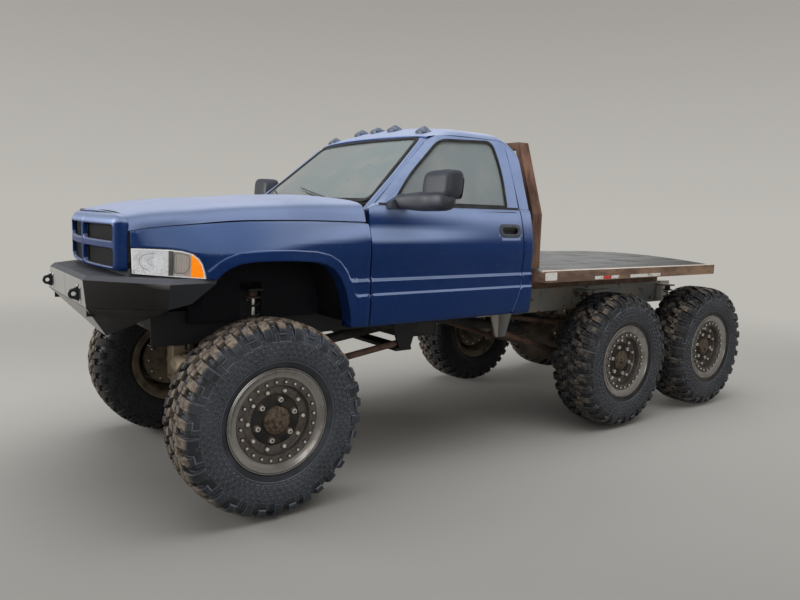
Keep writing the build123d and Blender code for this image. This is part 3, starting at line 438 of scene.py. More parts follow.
def lug(tyre, side, angle, rows, chamfer=0.0035):
    """Raised block. Its rows are (along, arc from, arc to, height) over the carcass."""
    rings = []
    for along, arc_low, arc_high, height in rows:
        ring = []
        corners = [(arc_low - 0.0015, -0.004), (arc_low, height - chamfer),
                   (arc_low + chamfer, height), (arc_high - chamfer, height),
                   (arc_high, height - chamfer), (arc_high + 0.0015, -0.004)]
        for arc, lift in corners:
            radius, across = on_carcass(abs(along), lift)
            turn = angle + arc / tyre_radius
            ring.append((radius * sin(turn), (across if along >= 0 else -across) * side,
                         radius * cos(turn)))
        rings.append(ring)
    tyre.grid(rings, closed=True, capped=True)


def tyre_shape():
    tyre = Shape()
    outer = [(radius, across) for radius, across in carcass]
    inner = [(0.300, 0.145), (0.330, 0.150), (0.40, 0.165), (0.48, 0.155), (0.515, 0.12),
             (0.522, 0.0)]
    half = outer + inner
    whole = half + [(radius, -across) for radius, across in half[-2:0:-1]]
    tyre.turned(whole, 136, closed=True)
    pitch = 2 * pi / lug_count
    edge = 0.158
    for side in (1, -1):
        for index in range(lug_count):
            angle = (index + (0.25 if side > 0 else 0.75)) * pitch
            long_one = index % 2 == 0
            ends = [0.092, 0.125, edge, edge + 0.014, edge + 0.030]
            ends += [along_at(0.488), along_at(0.466)] if long_one else [along_at(0.500)]
            wide = 0.0285 if long_one else 0.0245
            rows = []
            for along in ends:
                down = max(0.0, along - edge) / (ends[-1] - edge)
                height = tread_depth * (1 - 0.55 * down ** 1.4)
                skew = 0.012 * min(1.0, (along - 0.092) / 0.066)
                rows.append((along, -wide + skew, wide + skew, height))
            lug(tyre, side, angle, rows)
            foot = 0.020 if long_one else 0.016
            inner = [(0.060, -0.034, -0.034 + 2 * foot, tread_depth * 0.96),
                     (0.086, -0.030, -0.030 + 2 * foot, tread_depth * 0.98)]
            lug(tyre, side, angle, inner)
            middle = angle + 0.46 * pitch
            lug(tyre, side, middle, [(0.008, -0.040, 0.006, tread_depth),
                                     (0.030, -0.034, 0.018, tread_depth),
                                     (0.054, -0.020, 0.026, tread_depth)])
            lug(tyre, side, middle, [(0.066, -0.022, 0.018, tread_depth * 0.97),
                                     (0.100, -0.014, 0.020, tread_depth * 0.93)])
            lug(tyre, side, middle, [(0.118, -0.007, 0.008, 0.012), (0.150, -0.008, 0.009, 0.008)],
                chamfer=0.002)
            cleat = along_at(0.470 if long_one else 0.490)
            low = along_at(0.452)
            lug(tyre, side, middle, [(cleat - 0.012, -0.011, 0.013, 0.0065),
                                     (low, -0.010, 0.012, 0.0055)], chamfer=0.002)
        count = 64
        half_arc = 0.30 * 2 * pi / count * tyre_radius
        for radius, long, shift in ((0.444, 0.0085, 0), (0.417, 0.0085, 0.5),
                                    (0.388, 0.0085, 0), (0.362, 0.006, 0.5)):
            along = along_at(radius)
            for index in range(count):
                angle = (index + shift) * 2 * pi / count
                lug(tyre, side, angle, [(along - long, -half_arc, half_arc, 0.0080),
                                        (along + long, -half_arc, half_arc, 0.0080)],
                    chamfer=0.0018)
                lug(tyre, side, angle + pi / count, [(along - 0.6 * long, -0.002, 0.002, 0.0035),
                                                     (along + 0.6 * long, -0.002, 0.002, 0.0035)],
                    chamfer=0.001)
        for radius in (0.4585, 0.431, 0.4025, 0.3745, 0.346):
            along = along_at(radius)
            ring = [on_carcass(along - 0.0024, -0.002), on_carcass(along - 0.0015, 0.0036),
                    on_carcass(along + 0.0015, 0.0036), on_carcass(along + 0.0024, -0.002)]
            tyre.turned([(r, y * side) for r, y in ring], 96, closed=True)
    return tyre


def mud_rubber(name, mud, dark, pale):
    """Weathered rubber: mud on the lugs and dark grooves. Its pale edges on the side wall are a
    painted highlight, and its near black side that faces the truck is painted shade."""
    rubber = Finish(name)
    flat = rubber.add("ShaderNodeVectorMath", {"operation": "MULTIPLY"},
                      {0: rubber.spot(), 1: (1, 0, 1)})
    radius = rubber.add("ShaderNodeVectorMath", {"operation": "LENGTH"}, {0: flat}, out="Value")
    tops = rubber.between(radius, 0.515, 0.556)
    blotch = rubber.between(rubber.noise(9, 7, 0.65), 0.36, 0.62)
    caked = rubber.between(tops * mud + blotch * 0.55, 0.60, 1.10)
    # Painted highlight: every edge turns pale blue grey.
    painted_edge_highlight = rubber.worn_edge(0.0055)
    base = rubber.mix(rubber.between(rubber.noise(5, 6), 0.35, 0.7), dark, pale)
    edged = rubber.mix(painted_edge_highlight * 0.95, base, (0.165, 0.182, 0.215))
    # Painted shade: the side that faces the truck turns near black.
    painted_shade_inner_side = rubber.between(0 - rubber.part_of("Y"), 0.02, 0.12)
    grime = rubber.between(rubber.noise(42, 7, 0.65), 0.38, 0.64)
    dried = rubber.mix(grime, (0.215, 0.178, 0.142), (0.082, 0.064, 0.050))
    outside = rubber.mix(caked, edged, dried)
    rubber.set(Base_Color=rubber.mix(painted_shade_inner_side * 0.85, outside, (0.0040, 0.0045, 0.0065)),
               Roughness=0.50 + caked * 0.4, Specular_IOR_Level=0.45,
               Normal=rubber.bump(rubber.noise(95, 6) + caked * rubber.noise(24, 5) * 2.0,
                                  0.0016, 0.6, rubber.rounded(0.0025)))
    return rubber


muddy = mud_rubber("muddy_rubber", 0.86, (0.013, 0.0160, 0.0215), (0.044, 0.051, 0.064))
dusty_rubber = mud_rubber("dusty_rubber", 0.42, (0.0085, 0.0085, 0.0095), (0.027, 0.0265, 0.028))


def each_wheel(start, slot):
    """For every wheel: its name's parts, a piece's name, body and slot, place and turn."""
    for place, side in wheel_names:
        facing = (0, pi / 2 * len(place), 0 if side == "left" else pi)
        yield (place, side, f"{start}_{place}_{side}", (f"{place}_{side}_wheel", slot),
               (wheel_centre[place, side], facing))


tyre_mesh = {}
for place, side, name, spot, stance in each_wheel("tread", "tyre_rubber"):
    finish = muddy if place == "front" else dusty_rubber
    if finish not in tyre_mesh:
        piece = tyre_shape().make(name, *spot, [finish], 28, True, *stance)
        tyre_mesh[finish] = piece.data
    else:
        piece = settled(bpy.data.objects.new(name, tyre_mesh[finish]), *spot, *stance)
    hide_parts(f"tyre_{place}_{side}")

# ---------------------------------------------------------------- rims
# Beadlock rims of plain steel: a bright rolled lip, a bolted clamp ring, a dished disc with
# two bolt circles and a rusty hub. The brake drum's back shows between rim and knuckle.


def two_tone(name, patches, span, clean, dirty, gloss, grain, edge=None, share=None, **more):
    """Clean colour with dirty patches of noise, rougher where dirty, over a fine grain."""
    finish = Finish(name)
    dirt = finish.between(finish.noise(*patches), *span)
    scale, detail, depth, strength = grain
    round_edge = (finish.rounded(edge),) if edge else ()
    return finish.set(Base_Color=finish.mix(dirt * share if share else dirt, clean, dirty),
                      Roughness=gloss[0] + dirt * gloss[1],
                      Normal=finish.bump(finish.noise(scale, detail), depth, strength, *round_edge),
                      **more)


lip_steel = two_tone("worn_lip", (9, 4), (0.45, 0.75), (0.335, 0.318, 0.305),
                     (0.215, 0.192, 0.172), (0.24, 0.12), (160, 2, 0.0002, 0.2), Metallic=0.90)
rim_steel = Finish("rim_steel")
stain = rim_steel.between(rim_steel.noise(9, 7, 0.7), 0.42, 0.66)
speck = rim_steel.between(rim_steel.noise(55, 6), 0.50, 0.68)
plain = rim_steel.mix(speck, (0.150, 0.138, 0.130), (0.085, 0.074, 0.067))
rim_steel.set(Base_Color=rim_steel.mix(stain * 0.5, plain, (0.085, 0.058, 0.043)),
              Metallic=0.75, Roughness=0.36 + stain * 0.15,
              Normal=rim_steel.bump(rim_steel.noise(120, 5), 0.0007, 0.5))
bolt_steel = two_tone("bolt_steel", (70, 5), (0.45, 0.65), (0.92, 0.90, 0.86), (0.40, 0.30, 0.22),
                      (0.30, 0.15), (260, 3, 0.0004, 0.4), share=0.35, Metallic=0.85)
hub_rust = two_tone("hub_rust", (45, 6), (0.42, 0.62), (0.120, 0.088, 0.058),
                    (0.045, 0.032, 0.025), (0.72, 0.18), (130, 6, 0.0012, 0.7))
dark_disc = two_tone("dark_disc", (16, 6), (0.38, 0.66), (0.012, 0.012, 0.013),
                     (0.045, 0.036, 0.030), (0.60, 0.2), (90, 5, 0.0008, 0.5), Metallic=0.2)
drum_paint = two_tone("drum_paint", (10, 6), (0.40, 0.66), (0.150, 0.125, 0.080),
                      (0.060, 0.046, 0.032), (0.75, 0.15), (85, 5, 0.0012, 0.6))
rim_finishes = [rim_steel, lip_steel, bolt_steel, dark_disc, hub_rust, drum_paint]


def bolt_ring(rim, count, radius, level, size, height, mark, start=0.0, sides=6):
    """Bolt heads standing out of a disc, on a circle. A washer has many sides."""
    for index in range(count):
        turn = start + index * 2 * pi / count
        flat = [(radius * sin(turn) + size * sin(turn + k * 2 * pi / sides),
                 radius * cos(turn) + size * cos(turn + k * 2 * pi / sides)) for k in range(sides)]
        rim.slab(flat, level, level + height, lambda u, v, y: (u, y, v), mark, 0.18 * size)


def rim_shape(dish, hub_end, ring_level, drum_face):
    """Rim about the Y axis. dish is the disc's face, ring_level the clamp ring's."""
    rim = Shape()
    deep = min(0.135, ring_level - 0.030)
    roll = ((0.2485, -0.0125), (0.258, -0.0115), (0.269, -0.0080), (0.279, -0.0030),
            (0.287, 0.0030), (0.2925, 0.0050), (0.2960, 0.0040), (0.2985, 0.0015),
            (0.3000, 0.0045), (0.3030, 0.0070), (0.3070, 0.0050), (0.3095, -0.004),
            (0.3085, -0.018))
    lip = [(0.252, deep - 0.020), (0.2485, deep)]
    lip += [(radius, ring_level + rise) for radius, rise in roll]
    lip += [(0.296, deep), (0.262, deep - 0.022)]
    rim.turned(lip, 96, 1, closed=True)
    face = [(0.240, 0.060), (0.250, deep - 0.010), (0.250, ring_level - 0.0155),
            (0.247, ring_level - 0.0135), (0.2445, ring_level - 0.010),
            (0.206, ring_level - 0.010), (0.203, ring_level - 0.014), (0.200, dish + 0.030),
            (0.196, dish + 0.012), (0.190, dish + 0.006), (0.150, dish + 0.004),
            (0.1465, dish - 0.002), (0.1465, dish - 0.012), (0.225, dish - 0.014), (0.232, 0.030)]
    rim.turned(face, 96, 0, closed=True)
    disc = [(0.1475, dish - 0.010), (0.1475, dish - 0.001), (0.144, dish + 0.0015),
            (0.088, dish + 0.006), (0.0825, dish + 0.011), (0.0825, dish - 0.012)]
    rim.turned(disc, 64, 3, closed=True)
    step = hub_end - dish
    hill = ((0.0795, 0), (0.0795, 0.42), (0.074, 0.50), (0.066, 0.55), (0.062, 0.66),
            (0.054, 0.72), (0.034, 0.76), (0.0315, 0.95))
    dome = [(radius, dish + share * step) for radius, share in hill]
    dome += [(0.028, hub_end), (0.012, hub_end), (0.010, hub_end - 0.004), (0.0, hub_end - 0.004)]
    rim.turned(dome, 40, 4)
    bolt_ring(rim, 24, 0.2255, ring_level - 0.010, 0.0125, 0.004, 3, 0.06, 14)
    bolt_ring(rim, 24, 0.2255, ring_level - 0.0065, 0.0080, 0.0075, 2, 0.06)
    bolt_ring(rim, 10, 0.171, dish + 0.0055, 0.0205, 0.002, 4, 0, 16)
    bolt_ring(rim, 10, 0.171, dish + 0.0065, 0.0125, 0.014, 2)
    bolt_ring(rim, 6, 0.118, dish + 0.003, 0.0215, 0.004, 4, 0.3, 16)
    bolt_ring(rim, 6, 0.118, dish + 0.004, 0.0165, 0.022, 2, 0.3)
    bolt_ring(rim, 6, 0.118, dish + 0.0255, 0.0085, 0.0015, 0, 0.3, 10)
    bolt_ring(rim, 8, 0.069, dish + 0.515 * step, 0.0060, 0.006, 4)
    barrel = [(0.2405, 0.058), (0.240, -0.060), (0.2425, -0.075), (0.252, -0.120), (0.262, -0.138),
              (0.298, -0.150), (0.3085, -0.158), (0.309, -0.166), (0.300, -0.168), (0.276, -0.156),
              (0.2525, -0.140), (0.2325, -0.070), (0.2325, 0.050)]
    rim.turned(barrel, 80, 5, closed=True)
    drum = [(0.0425, drum_face + 0.010), (0.060, drum_face), (0.150, drum_face),
            (0.156, drum_face + 0.008), (0.190, drum_face + 0.010), (0.199, drum_face + 0.018),
            (0.199, drum_face + 0.050), (0.194, drum_face + 0.056), (0.194, dish - 0.020),
            (0.175, dish - 0.013), (0.0425, dish - 0.013)]
    rim.turned(drum, 64, 5, closed=True)
    for ring in (0.024, 0.034, 0.044):
        rib = [(0.195, drum_face + ring - 0.002), (0.2015, drum_face + ring - 0.0015),
               (0.2015, drum_face + ring + 0.0015), (0.195, drum_face + ring + 0.002)]
        rim.turned(rib, 64, 5, closed=True)
    bolt_ring(rim, 12, 0.172, drum_face + 0.009, 0.008, -0.008, 2)
    return rim


rim_mesh = {}
for place, side, name, spot, stance in each_wheel("beadlock", "wheel_steel"):
    kind = "front" if place == "front" else "back"
    if kind not in rim_mesh:
        sizes = (0.108, 0.176, 0.157, -0.108) if kind == "front" else (0.090, 0.140, 0.157, -0.120)
        piece = rim_shape(*sizes).make(name, *spot, rim_finishes, 32, True, *stance)
        rim_mesh[kind] = piece.data
    else:
        piece = settled(bpy.data.objects.new(name, rim_mesh[kind]), *spot, *stance)
    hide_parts(f"rim_{place}_{side}")

# ---------------------------------------------------------------- body paint
# Old metallic blue under a tired clear lacquer, with fine flake, dust and a few dull patches.
# Its colour holds a painted sky reflection: deep blue on upright faces, silvery where it faces
# up. Then the flank that doors, fenders and cab share, and the pressed panel they are made with.


def coach_paint(name, painted_front_shade=0.0):
    """Blue coach paint, lighter where it faces up as a painted sky reflection; the painted
    front shade darkens it ahead of the front wheel.
    """
    paint = Finish(name)
    dull = paint.between(paint.noise(2.0, 5), 0.42, 0.75)
    dust = paint.between(paint.noise(34, 6), 0.52, 0.75)
    flake = paint.noise(900, 1)
    upright = paint.facing("Z")
    deep = paint.mix(flake, (0.0012, 0.0185, 0.100), (0.0030, 0.026, 0.128))
    # Painted reflection: the blue turns silvery the more the face points up, as if it mirrored the sky.
    painted_sky_sheen = paint.mix(paint.between(upright, 0.10, 0.27), deep, (0.250, 0.325, 0.540))
    painted_sky_sheen = paint.mix(paint.between(upright, 0.28, 0.62), painted_sky_sheen, (0.158, 0.203, 0.320))
    painted_sky_sheen = paint.mix(paint.between(upright, 0.66, 0.98), painted_sky_sheen, (0.300, 0.343, 0.474))
    # Painted shade: darker on the fender ahead of the front wheel.
    if painted_front_shade:
        ahead = paint.between(paint.part_of("X"), 1.60, 2.25) * paint.between(upright, 0.08, 0.2)
        painted_sky_sheen = paint.mix(ahead * painted_front_shade, painted_sky_sheen, (0.026, 0.062, 0.180))
    faded = paint.mix(dull * 0.22, painted_sky_sheen, (0.050, 0.072, 0.130))
    paint.set(Base_Color=paint.mix(dust * 0.03, faded, (0.30, 0.30, 0.29)),
              Metallic=0.12, Roughness=0.40 + dull * 0.10 + dust * 0.05,
              Specular_IOR_Level=0.32, Specular_Tint=(0.35, 0.55, 1.0, 1.0),
              Coat_Weight=0.14 - dull * 0.08, Coat_Roughness=0.18,
              Normal=paint.bump(paint.noise(420, 2), 0.00012, 0.25, paint.rounded(0.004)))
    return paint


body_paint = coach_paint("body_paint")
fender_paint_painted_shade = coach_paint("fender_paint_painted_shade", 0.78)
trim_paint = two_tone("black_rubber_trim", (25, 6), (0.42, 0.68), (0.012, 0.012, 0.013),
                      (0.030, 0.030, 0.031), (0.48, 0.2), (300, 3, 0.0003, 0.4))
painted = [body_paint, trim_paint]


def soft_step(value, low, high):
    share = np.clip((np.asarray(value, float) - low) / (high - low), 0, 1)
    return share * share * (3 - 2 * share)


def curve(places, values):
    """Smooth curve through points that never overshoots them, as a function."""
    places, values = np.array(places, float), np.array(values, float)
    steps = np.diff(places)
    slopes = np.diff(values) / steps
    tangents = np.zeros_like(values)
    same = slopes[:-1] * slopes[1:] > 0
    inner = np.zeros(len(values) - 2)
    inner[same] = (2 * slopes[:-1][same] * slopes[1:][same]
                   / (slopes[:-1][same] + slopes[1:][same]))
    tangents[1:-1] = inner
    tangents[0], tangents[-1] = slopes[0], slopes[-1]

    def at(where):
        where = np.clip(np.asarray(where, float), places[0], places[-1])
        index = np.clip(np.searchsorted(places, where) - 1, 0, len(steps) - 1)
        t = (where - places[index]) / steps[index]
        first, second = values[index], values[index + 1]
        lead, tail = tangents[index] * steps[index], tangents[index + 1] * steps[index]
        return ((2 * t ** 3 - 3 * t ** 2 + 1) * first + (t ** 3 - 2 * t ** 2 + t) * lead
                + (3 * t ** 2 - 2 * t ** 3) * second + (t ** 3 - t ** 2) * tail)
    return at


def soft_least(first, second, size):
    """The smaller of two values, blended where they are within the size of each other."""
    share = np.clip(0.5 + 0.5 * (second - first) / size, 0, 1)
    return second + (first - second) * share - size * share * (1 - share)


def rounded_outline(corners, radii, step=0.012):
    """Polygon with its corners rounded, as a list of points."""
    count = len(corners)
    ring = []
    for index in range(count):
        before, at, after = (np.array(corners[(index + k) % count], float) for k in (-1, 0, 1))
        size = radii[index] if isinstance(radii, (list, tuple)) else radii
        way_in, way_out = before - at, after - at
        reach = min(size, 0.48 * np.linalg.norm(way_in), 0.48 * np.linalg.norm(way_out))
        start = at + way_in / np.linalg.norm(way_in) * reach
        end = at + way_out / np.linalg.norm(way_out) * reach
        turns = max(2, int(reach / step) + 2)
        for share in np.linspace(0, 1, turns):
            ring.append(tuple((1 - share) ** 2 * start + 2 * share * (1 - share) * at
                              + share ** 2 * end))
    return ring


def filled_in(ring, step):
    """Outline with points added so that none of its sides is longer than the step."""
    whole = []
    for first, second in zip(ring, ring[1:] + ring[:1]):
        first, second = np.array(first, float), np.array(second, float)
        parts = max(1, int(np.ceil(np.linalg.norm(second - first) / step)))
        whole.extend(tuple(first + (second - first) * k / parts) for k in range(parts))
    return whole


def within(points, ring):
    """Which of the points lie inside the outline."""
    points, ring = np.asarray(points, float), np.asarray(ring, float)
    u, v = points[:, 0][:, None], points[:, 1][:, None]
    a, b = ring, np.roll(ring, -1, axis=0)
    crosses = (a[:, 1] > v) != (b[:, 1] > v)
    rise = np.where(np.abs(b[:, 1] - a[:, 1]) < 1e-12, 1e-12, b[:, 1] - a[:, 1])
    at = a[:, 0] + (v - a[:, 1]) / rise * (b[:, 0] - a[:, 0])
    return (np.sum(crosses & (u < at), axis=1) % 2) == 1


def sheet_panel(shape, outline, place, thickness, holes=(), step=0.03, rows=(), columns=(),
                edge=0.004, drop=0.0025, away=(0, -1, 0), mark=0, back_mark=None, extra=(),
                clear=0.008):
    """Pressed panel over a flat outline: place(u, v) gives the skin's points, and the back
    lies the thickness away from it. The skin turns in a little at every edge."""
    rings = [filled_in(list(map(tuple, ring)), step) for ring in (outline, *holes)]
    points, edges, kinds = [], [], []
    for number, ring in enumerate(rings):
        inner = shrunk(ring, edge if number == 0 else -edge)
        for kind, loop in ((0, ring), (1, inner)):
            start = len(points)
            points.extend(tuple(map(float, point)) for point in loop)
            kinds.extend([kind] * len(loop))
            edges.extend((start + k, start + (k + 1) % len(loop)) for k in range(len(loop)))
    boundary = np.array([point for ring in rings for point in ring])

    def inside(places):
        """Which places lie in the outline and outside every hole."""
        good = within(places, rings[0])
        for ring in rings[1:]:
            good &= ~within(places, ring)
        return good

    def off_edges(places):
        """The places inside that stand clear of every edge."""
        places = places[inside(places)]
        gap = np.min(np.linalg.norm(places[:, None] - boundary[None], axis=2), axis=1)
        return places[gap > edge * 1.8]

    low, high = boundary.min(axis=0), boundary.max(axis=0)
    across = np.unique(np.concatenate([np.arange(low[0], high[0], step), columns]))
    upward = np.unique(np.concatenate([np.arange(low[1], high[1], step), rows]))
    inner_points = off_edges(np.array([(u, v) for u in across for v in upward]))
    if len(extra):
        extra = off_edges(np.array(extra, float))
        near = np.min(np.linalg.norm(inner_points[:, None] - extra[None], axis=2), axis=1)
        inner_points = np.concatenate([inner_points[near > clear], extra])
    points.extend(map(tuple, inner_points))
    kinds.extend([2] * len(inner_points))
    flat, _, faces, origins, _, _ = delaunay_2d_cdt([Vector(point) for point in points], edges,
                                                    [], 0, 1e-7)
    flat = np.array([tuple(point) for point in flat])
    kind = np.array([kinds[origin[0]] if origin else 1 for origin in origins])
    middles = np.array([flat[list(face)].mean(axis=0) for face in faces])
    faces = [list(face) for face, good in zip(faces, inside(middles)) if good]
    away = np.array(away, float)
    skin = np.stack(np.broadcast_arrays(*place(flat[:, 0], flat[:, 1])), axis=1).astype(float)
    skin[kind == 0] += away * drop
    back = skin + away * thickness
    back[kind == 0] -= away * drop
    count = len(flat)
    shape.add(skin, faces, mark)
    rear_mark = mark if back_mark is None else back_mark
    start = len(shape.points)
    shape.add(back, [face[::-1] for face in faces], rear_mark)
    used = {}
    for face in faces:
        for first, second in zip(face, face[1:] + face[:1]):
            used[first, second] = used.get((first, second), 0) + 1
    base = start - count
    for first, second in used:
        if (second, first) not in used:
            shape.faces.append([base + second, base + first, start + first, start + second])
            shape.marks.append(rear_mark)
    return shape


waist_z = 1.5
belt_z = 1.80
below_glass = 1.7999
glass_half = 0.900
glass_lean = 0.28
low_heights = [1.02, 1.035, 1.06, 1.15, 1.228, 1.243, 1.305, 1.318, 1.334, 1.40, 1.46, 1.50]
low_widths = [.938, .952, .961, .970, .973, .966, .968, .970, .958, .963, .968, .970]
flank_low = curve(low_heights, low_widths)
flank_front = curve([1.50, 1.56, 1.61, 1.645, 1.68, 1.74, 1.77, 1.788, 1.80],
                    [.970, .966, .950, .938, .934, .926, .918, .908, .896])
flank_rear = curve([1.50, 1.56, 1.62, 1.68, 1.73, 1.765, 1.788, 1.80],
                   [.970, .964, .955, .944, .932, .921, .909, .896])
crease_rows = [1.035, 1.048, 1.06, 1.222, 1.2275, 1.233, 1.238, 1.243, 1.248, 1.300, 1.307, 1.313,
               1.318, 1.323, 1.3285, 1.334, 1.34, 1.765, 1.777, 1.785, 1.79, 1.795]


def glass_y(z):
    """Half-width of the side windows' plane."""
    return glass_half - glass_lean * (z - belt_z)


def screen_y(x, z):
    """Half-width of the windshield's bowed face at a place on it."""
    return np.sqrt(np.maximum((1.612 - 1.366 * (z - 1.807) - x) / 0.465, 1e-6))


def door_y(x, z):
    front = soft_step(x, 0.25, 1.36)
    high = flank_rear(z) * (1 - front) + flank_front(z) * front
    body = np.where(z < waist_z, flank_low(np.minimum(z, waist_z)), high)
    frame_y = soft_least(glass_y(z), screen_y(x, z), 0.03)
    return np.where(z < belt_z, body, frame_y)


def on_flank(x, z):
    return x, door_y(x, z), z

# ---------------------------------------------------------------- doors
# Pressed steel door, one piece from sill to roof, with a frame round the window. Two creases
# run along it and a shallow valley flows back from the hood. The inside is a trimmed card.
door_window = rounded_outline([(1.178, 1.806), (1.027, 1.982), (0.715, 2.252), (0.215, 2.278),
                               (0.160, 2.06), (0.160, 1.806)], [0.03, 0.2, 0.075, 0.07, 0.1, 0.02])
door_edge = rounded_outline([(1.374, 1.034), (1.374, 1.772), (1.30, 1.800), (1.167, 1.921),
                             (0.853, 2.205), (0.765, 2.283), (0.098, 2.290), (0.056, 2.07),
                             (0.041, 1.80), (0.038, 1.60), (0.037, 1.30), (0.066, 1.19),
                             (0.125, 1.034)],
                            [0.012, 0.02, 0.03, 0.2, 0.2, 0.03, 0.045, 0.3, 0.2, 0.2, 0.1, 0.08,
                             0.03])
handle_hole = rounded_outline([(0.268, 1.598), (0.268, 1.684), (0.072, 1.682), (0.072, 1.596)],
                              0.03)


def door_shape():
    door = Shape()
    sheet_panel(door, door_edge, on_flank, 0.036, [door_window, handle_hole], 0.028, crease_rows,
                mark=0, drop=0.003)
    card = rounded_outline([(1.34, 1.06), (1.34, 1.765), (0.06, 1.775), (0.075, 1.30),
                            (0.15, 1.06)], 0.04)
    sheet_panel(door, card, lambda x, z: (x, 0.900 - 0.02 * np.cos(z * 9), z), 0.030, step=0.06,
                mark=1, drop=0.002)
    return door


def seal(shape, ring, place, wide, high, out_way=(0, 1, 0), step=0.015, shoulder=0.7,
         foot=0.006):
    """Rubber moulding along a ring of flat points, raised along one way."""
    ring = filled_in(list(map(tuple, ring)), step)
    outer, inner = shrunk(ring, -wide / 2), shrunk(ring, wide / 2)
    out_way = np.array(out_way, float)
    rows = []
    for a, b, c in zip(outer, np.array(ring), inner):
        first, middle, last = (np.array([float(v) for v in place(*point)]) for point in (a, b, c))
        rows.append([first - out_way * foot, first + out_way * high * shoulder,
                     middle + out_way * high, last + out_way * high * shoulder,
                     last - out_way * foot])
    shape.grid(rows, closed=True, looped=True)


def door_trim():
    """Window gasket, belt moulding, handle bezel and its paddle."""
    trim = Shape()
    seal(trim, shrunk(door_window, 0.004), on_flank, 0.018, 0.003)
    belt = [(0.052, 1.792), (1.29, 1.792), (1.29, 1.806), (0.052, 1.806)]
    trim.slab(belt, -0.004, 0.004,
              lambda x, z, y: (x, float(door_y(x, min(z, below_glass))) + y + 0.002, z), 0, 0.002)
    bezel = rounded_outline([(0.276, 1.594), (0.276, 1.688), (0.064, 1.686), (0.064, 1.592)], 0.040)
    hole = rounded_outline([(0.246, 1.618), (0.246, 1.664), (0.094, 1.662), (0.094, 1.616)], 0.022)
    sheet_panel(trim, bezel, lambda x, z: (x, door_y(x, z) + 0.006, z), 0.008, [hole], 0.02, mark=1)
    sheet_panel(trim, hole, lambda x, z: (x, door_y(x, z) - 0.022, z), 0.004, (), 0.02)
    paddle = rounded_outline([(0.245, 1.640), (0.245, 1.676), (0.095, 1.674), (0.095, 1.638)],
                             0.012)
    sheet_panel(trim, paddle, lambda x, z: (x, door_y(x, z) - 0.002 - (1.676 - z) * 0.3, z), 0.006,
                (), 0.015)
    return trim


def door_pane():
    """Window pane that reaches under the gasket all round."""
    pane = Shape()
    sheet_panel(pane, shrunk(door_window, -0.006), lambda x, z: (x, door_y(x, z) - 0.010, z), 0.005,
                (), 0.04, edge=0.002, drop=0.0005)
    return pane


handle_grey = two_tone("handle_grey", (30, 5), (0.42, 0.70), (0.045, 0.055, 0.075),
                       (0.085, 0.095, 0.115), (0.40, 0.2), (300, 3, 0.0003, 0.4))
# Painted reflection, with a dust film: the pale base colour stands for the studio in the glass.
side_glass_painted_reflection = two_tone("side_glass_painted_reflection", (5, 5), (0.38, 0.72), (0.30, 0.35, 0.365), (0.36, 0.39, 0.39),
                      (0.03, 0.08), (3, 2, 0.0004, 0.15), Transmission_Weight=0.40, IOR=1.45)


left_shapes = (door_shape(), door_trim(), door_pane())
for side, shapes in (("left", left_shapes),
                     ("right", [shape.mirrored() for shape in left_shapes])):
    panel = shapes[0].make(f"door_panel_{side}", f"{side}_door", "body_blue",
                           painted)
    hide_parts(f"door_{side}")
    shapes[1].make(f"door_trim_{side}", f"{side}_door", "plastic_grey", [trim_paint, handle_grey])
    pane = shapes[2].make(f"side_window_{side}", f"{side}_door", "glass", [side_glass_painted_reflection])
    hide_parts(f"door_glass_{side}")

# ---------------------------------------------------------------- fenders
# Front fenders: a flank that rolls in towards the hood, tapering to the lamp, with a flared
# lip round the wheel arch. The flare's edge catches the light as one smooth arc.
fender_x = [1.38, 1.7135, 2.1235, 2.3435, 2.4155, 2.5135, 2.6135, 2.7035, 2.75]
fender_side = curve(fender_x, [.970, .970, .963, .932, .900, .815, .708, .605, .55])
fender_edge = curve(fender_x, [.936, .908, .860, .805, .782, .738, .668, .598, .545])
flank_plain = curve([1.02, 1.06, 1.15, 1.25, 1.50], [.938, .961, .968, .969, .970])
fender_top = curve(fender_x, [1.677, 1.680, 1.672, 1.655, 1.647, 1.637, 1.623, 1.609, 1.602])
arch_line = [(2.345, 1.361), (2.308, 1.398), (2.275, 1.421), (2.219, 1.443), (2.136, 1.454),
             (2.036, 1.456), (1.904, 1.455), (1.767, 1.446), (1.695, 1.430), (1.640, 1.400),
             (1.595, 1.350), (1.559, 1.277), (1.535, 1.185), (1.518, 1.100), (1.510, 1.036)]
arch_points = np.array(filled_in(arch_line, 0.01)[:-40])
flare_reach = 0.060


def from_arch(x, z):
    """Distance from the edge of the wheel arch."""
    place = np.stack([np.ravel(x), np.ravel(z)], axis=1)
    gap = np.min(np.linalg.norm(place[:, None] - arch_points[None], axis=2), axis=1)
    return gap.reshape(np.shape(x))


def fender_y(x, z):
    side, edge, top = fender_side(x), fender_edge(x), fender_top(x)
    low = side - 0.970 + flank_low(np.minimum(z, waist_z))
    plain = side - 0.970 + flank_plain(np.minimum(z, waist_z))
    near_arch = 1 - soft_step(from_arch(x, z), flare_reach - 0.010, flare_reach + 0.006)
    low = low * (1 - near_arch) + plain * near_arch
    share = np.clip((z - waist_z) / (top - waist_z), 0, 1)
    rise = share ** (1.25 + 1.1 * soft_step(2.35 - x, 0.0, 0.7))
    return np.where(z < waist_z, low, side - (side - edge) * rise)


def on_fender(x, z):
    x, z = np.asarray(x, float), np.asarray(z, float)
    gap = from_arch(x, z)
    flare = 0.0085 * (1 - soft_step(gap, flare_reach - 0.0035, flare_reach + 0.0035))
    flare = flare + 0.002 * (1 - soft_step(gap, 0.0, flare_reach - 0.01))
    fade = soft_step(x, 1.36, 1.44) * soft_step(z, 1.37, 1.47)
    return x, fender_y(x, z) + flare * fade, z


